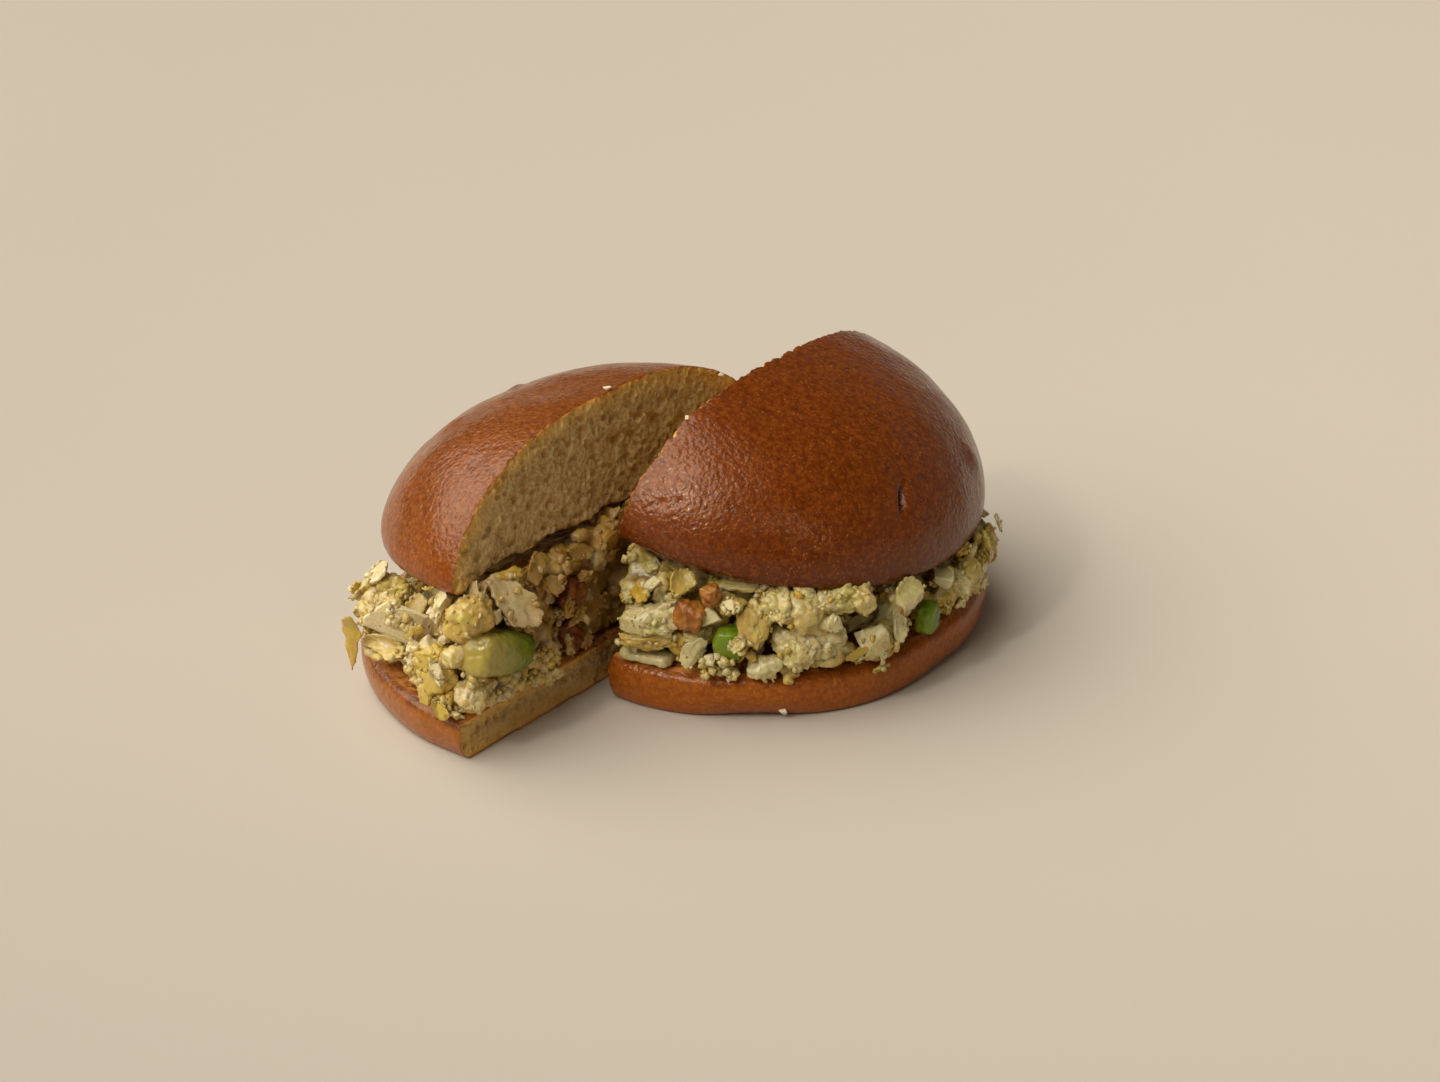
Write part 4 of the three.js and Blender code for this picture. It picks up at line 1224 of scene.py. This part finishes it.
def avocado_material(name, start, end):
    """Pale flesh that turns bright green near the skin, from one end to the other in millimetres."""
    material, tree = new_material(name, roughness=0.18, subsurface_weight=0.2, subsurface_scale=0.002,
                                  subsurface_radius=(0.8, 1.0, 0.3), specular_ior_level=0.5)
    axis = (Vector(end) - Vector(start)).normalized()
    first, last = (Vector(point).dot(axis) * MM for point in (start, end))
    way = stretch(tree, along(tree, tuple(axis)), first, last)
    way = maths(tree, "ADD", way, stretch(tree, clouds(tree, 0.4), 0.3, 0.7, -0.12, 0.12))
    base = blend(tree, stretch(tree, way, 0.2, 0.66), colour(170, 150, 68), colour(110, 132, 20))
    base = blend(tree, stretch(tree, way, 0.8, 1.05), base, colour(58, 98, 6))
    cover(tree, base, None, (clouds(tree, 0.3, 2, 0.5), 0.3), (clouds(tree, 1.6, 2), 0.03))
    return material


def tomato_material(name, red, pale):
    material, tree = new_material(name, roughness=0.22, subsurface_weight=0.12, subsurface_scale=0.002,
                                  subsurface_radius=(1.0, 0.3, 0.15), specular_ior_level=0.5)
    base = blend(tree, stretch(tree, clouds(tree, 0.35, 4), 0.35, 0.65), red, pale)
    cover(tree, base, None, (clouds(tree, 0.6, 4), 0.5), (clouds(tree, 1.8), 0.15))
    return material


BREAD = {
    "left_top_bun": bread_material(
        "left_crown_crust", shine=0.42, deep=colour(100, 44, 6), mid=colour(116, 54, 7),
        pale=colour(158, 90, 32), rim=colour(132, 60, 3), glint=0.2, painted_sheen=0.15),
    "left_bottom_bun": bread_material(
        "left_base_crust", shine=0.42, deep=colour(136, 72, 20), mid=colour(150, 84, 28),
        pale=colour(172, 106, 46), rim=colour(152, 84, 26), glint=0.15, painted_sheen=0),
    "right_top_bun": bread_material(
        "right_crown_crust", shine=0.42, deep=colour(91, 36, 4), mid=colour(95, 37, 2),
        pale=colour(142, 72, 16), rim=colour(84, 29, 0), glint=0.25, painted_sheen=0.45),
    "right_bottom_bun": bread_material(
        "right_base_crust", shine=0.38, deep=colour(134, 62, 6), mid=colour(156, 78, 12),
        pale=colour(182, 104, 28), rim=colour(160, 82, 10), glint=0.2, painted_sheen=0),
}
# The right half's egg is a darker copy of the same egg: painted shade under its crown.
EGG = {
    "left": egg_material("lit_egg", colour(226, 208, 160), colour(205, 176, 99), colour(202, 169, 60)),
    "right": egg_material("shaded_egg", colour(208, 194, 142), colour(192, 162, 82), colour(196, 157, 50)),
}
# The left tomato is a darker copy: painted shade in the cut between the halves.
TOMATO = {
    "left": tomato_material("shaded_tomato", colour(98, 38, 6), colour(140, 80, 22)),
    "right": tomato_material("wet_tomato", colour(140, 74, 16), colour(180, 122, 48)),
}
PEPPER = pepper_material()
CRUMBS = crumb_material()


# The sandwich.

def give(piece, material):
    piece.data.materials.clear()
    piece.data.materials.append(material)


def hand_over(piece, slot, *nodes):
    keep_inside(piece)
    only(piece)
    bpy.ops.object.shade_smooth()
    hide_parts(*nodes)
    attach(piece, "root")


# Shapes of egg, from balls of 5,120, 1,280 and 320 triangles, and a tiny one of 48.
fine_ball, fine_faces = plain_ball(5)
plain, coarse, tiny = plain_ball(4), plain_ball(3), block_ball()
FINE = (curd_shapes(fine_ball), fine_faces)
PLAIN = (curd_shapes(plain[0]), plain[1])
COARSE = (curd_shapes(coarse[0]), coarse[1])
TINY = (chunk_shape(tiny[0], 7), tiny[1])

for side in ("left", "right"):
    for build, node in ((build_crown, f"{side}_top_bun"), (build_base, f"{side}_bottom_bun")):
        bun = build(side)
        give(bun, BREAD[node])
        hand_over(bun, "bread", node)
    eggs, peppered = build_egg(side, FINE, PLAIN, COARSE, TINY)
    for piece in eggs:
        give(piece, EGG[side])
        hand_over(piece, "egg", f"{side}_egg_filling")
    crumbs = build_crumbs(side, COARSE[0]["chunk"][0], COARSE[1])
    give(crumbs, CRUMBS)
    hand_over(crumbs, "bread", f"{side}_top_bun")
    pepper = build_pepper(side, peppered, plain_ball(1))
    give(pepper, PEPPER)
    hand_over(pepper, "egg", f"{side}_egg_filling")

for seed, node in enumerate(sorted(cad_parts)):
    if "bun" in node or "filling" in node:
        continue
    side = node.split("_")[0]
    wedge = node == "left_avocado_chunk"
    slot = next((food for food in ("tomato", "avocado") if food in node), "egg")
    if "sliver" in node:
        piece = build_sliver(node, fine_ball, fine_faces)
    else:
        piece = build_cut_piece(node, seed + 60, PIECE_RELIEF[slot], WEDGE_SOFT if wedge else PIECE_SOFT)
    if slot == "tomato":
        give(piece, TOMATO[side])
    elif slot == "avocado":
        low, high = (corner[1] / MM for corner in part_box(node))
        start = high - WEDGE_GREEN if wedge else low - CUBE_AHEAD
        give(piece, avocado_material(f"flesh_{node}", (0, start, 0), (0, high, 0)))
    else:
        hangs = "sliver" in node
        paint(piece, tone=0.9 if hangs else 0.12, mush=0.35 if hangs else 0.0)
        give(piece, EGG[side])
    hand_over(piece, slot, node)


# Stage, light and camera.

def direction_of(azimuth, elevation):
    """The way to a place in the sky: azimuth from +Y towards +X, elevation above the floor."""
    azimuth, elevation = math.radians(azimuth), math.radians(elevation)
    flat = math.cos(elevation)
    return Vector((math.sin(azimuth) * flat, math.cos(azimuth) * flat, math.sin(elevation)))


def add_floor():
    bpy.ops.object.select_all(action="DESELECT")
    bpy.ops.mesh.primitive_plane_add(size=FLOOR_SIZE, location=(0, 0, -FLOOR_DROP))
    floor = bpy.context.object
    floor.name = "paper_floor"
    material, tree = new_material("paper", roughness=0.9, specular_ior_level=0.1)
    tint = blend(tree, clouds(tree, 0.002, 2, 0.5), colour(194, 182, 163), colour(200, 188, 170))
    # Painted light falloff across the floor and towards the camera.
    light_falloff = [stretch(tree, along(tree, direction), near * MM, far * MM, first, last)
             for direction, near, far, first, last in FLOOR_LIGHT_FALLOFF]
    inputs = {0: tint, "Scale": times(tree, *light_falloff)}
    shade = add_node(tree, "ShaderNodeVectorMath", inputs, operation="SCALE")
    cover(tree, shade.outputs["Vector"], None)
    give(floor, material)


def add_light(name, azimuth, elevation, distance, wide, tall, power, tint):
    light = bpy.data.lights.new(name, "AREA")
    light.shape = "ELLIPSE"
    light.size = wide
    light.size_y = tall
    light.energy = power
    light.color = tint
    lamp = bpy.data.objects.new(name, light)
    lamp.location = direction_of(azimuth, elevation) * distance
    lamp.rotation_euler = (-lamp.location).to_track_quat("-Z", "Y").to_euler()
    bpy.context.scene.collection.objects.link(lamp)


def add_world():
    world = bpy.data.worlds.new("studio")
    world.use_nodes = True
    bpy.context.scene.world = world
    tree = world.node_tree
    background = tree.nodes["Background"]
    direction = add_node(tree, "ShaderNodeTexCoord").outputs["Generated"]
    back = along(tree, WORLD_BRIGHT_WAY, direction)
    level = stretch(tree, back, *WORLD_SPREAD, WORLD_DIM, WORLD_BRIGHT)
    background.inputs["Color"].default_value = WORLD_TINT
    tree.links.new(level, background.inputs["Strength"])


def add_camera():
    ahead = -direction_of(180 - CAMERA_AZIMUTH, CAMERA_ELEVATION)
    camera = bpy.data.cameras.new("view")
    camera.lens = LENS
    camera.sensor_width = SENSOR
    eye = bpy.data.objects.new("view", camera)
    eye.location = (Vector(CAMERA_TARGET) - ahead * CAMERA_DISTANCE) * MM
    eye.rotation_euler = ahead.to_track_quat("-Z", "Y").to_euler()
    bpy.context.scene.collection.objects.link(eye)
    bpy.context.scene.camera = eye


add_floor()
add_world()
for name, values in LIGHTS.items():
    add_light(name, *values)
add_camera()
bpy.context.scene.view_settings.view_transform = "Standard"
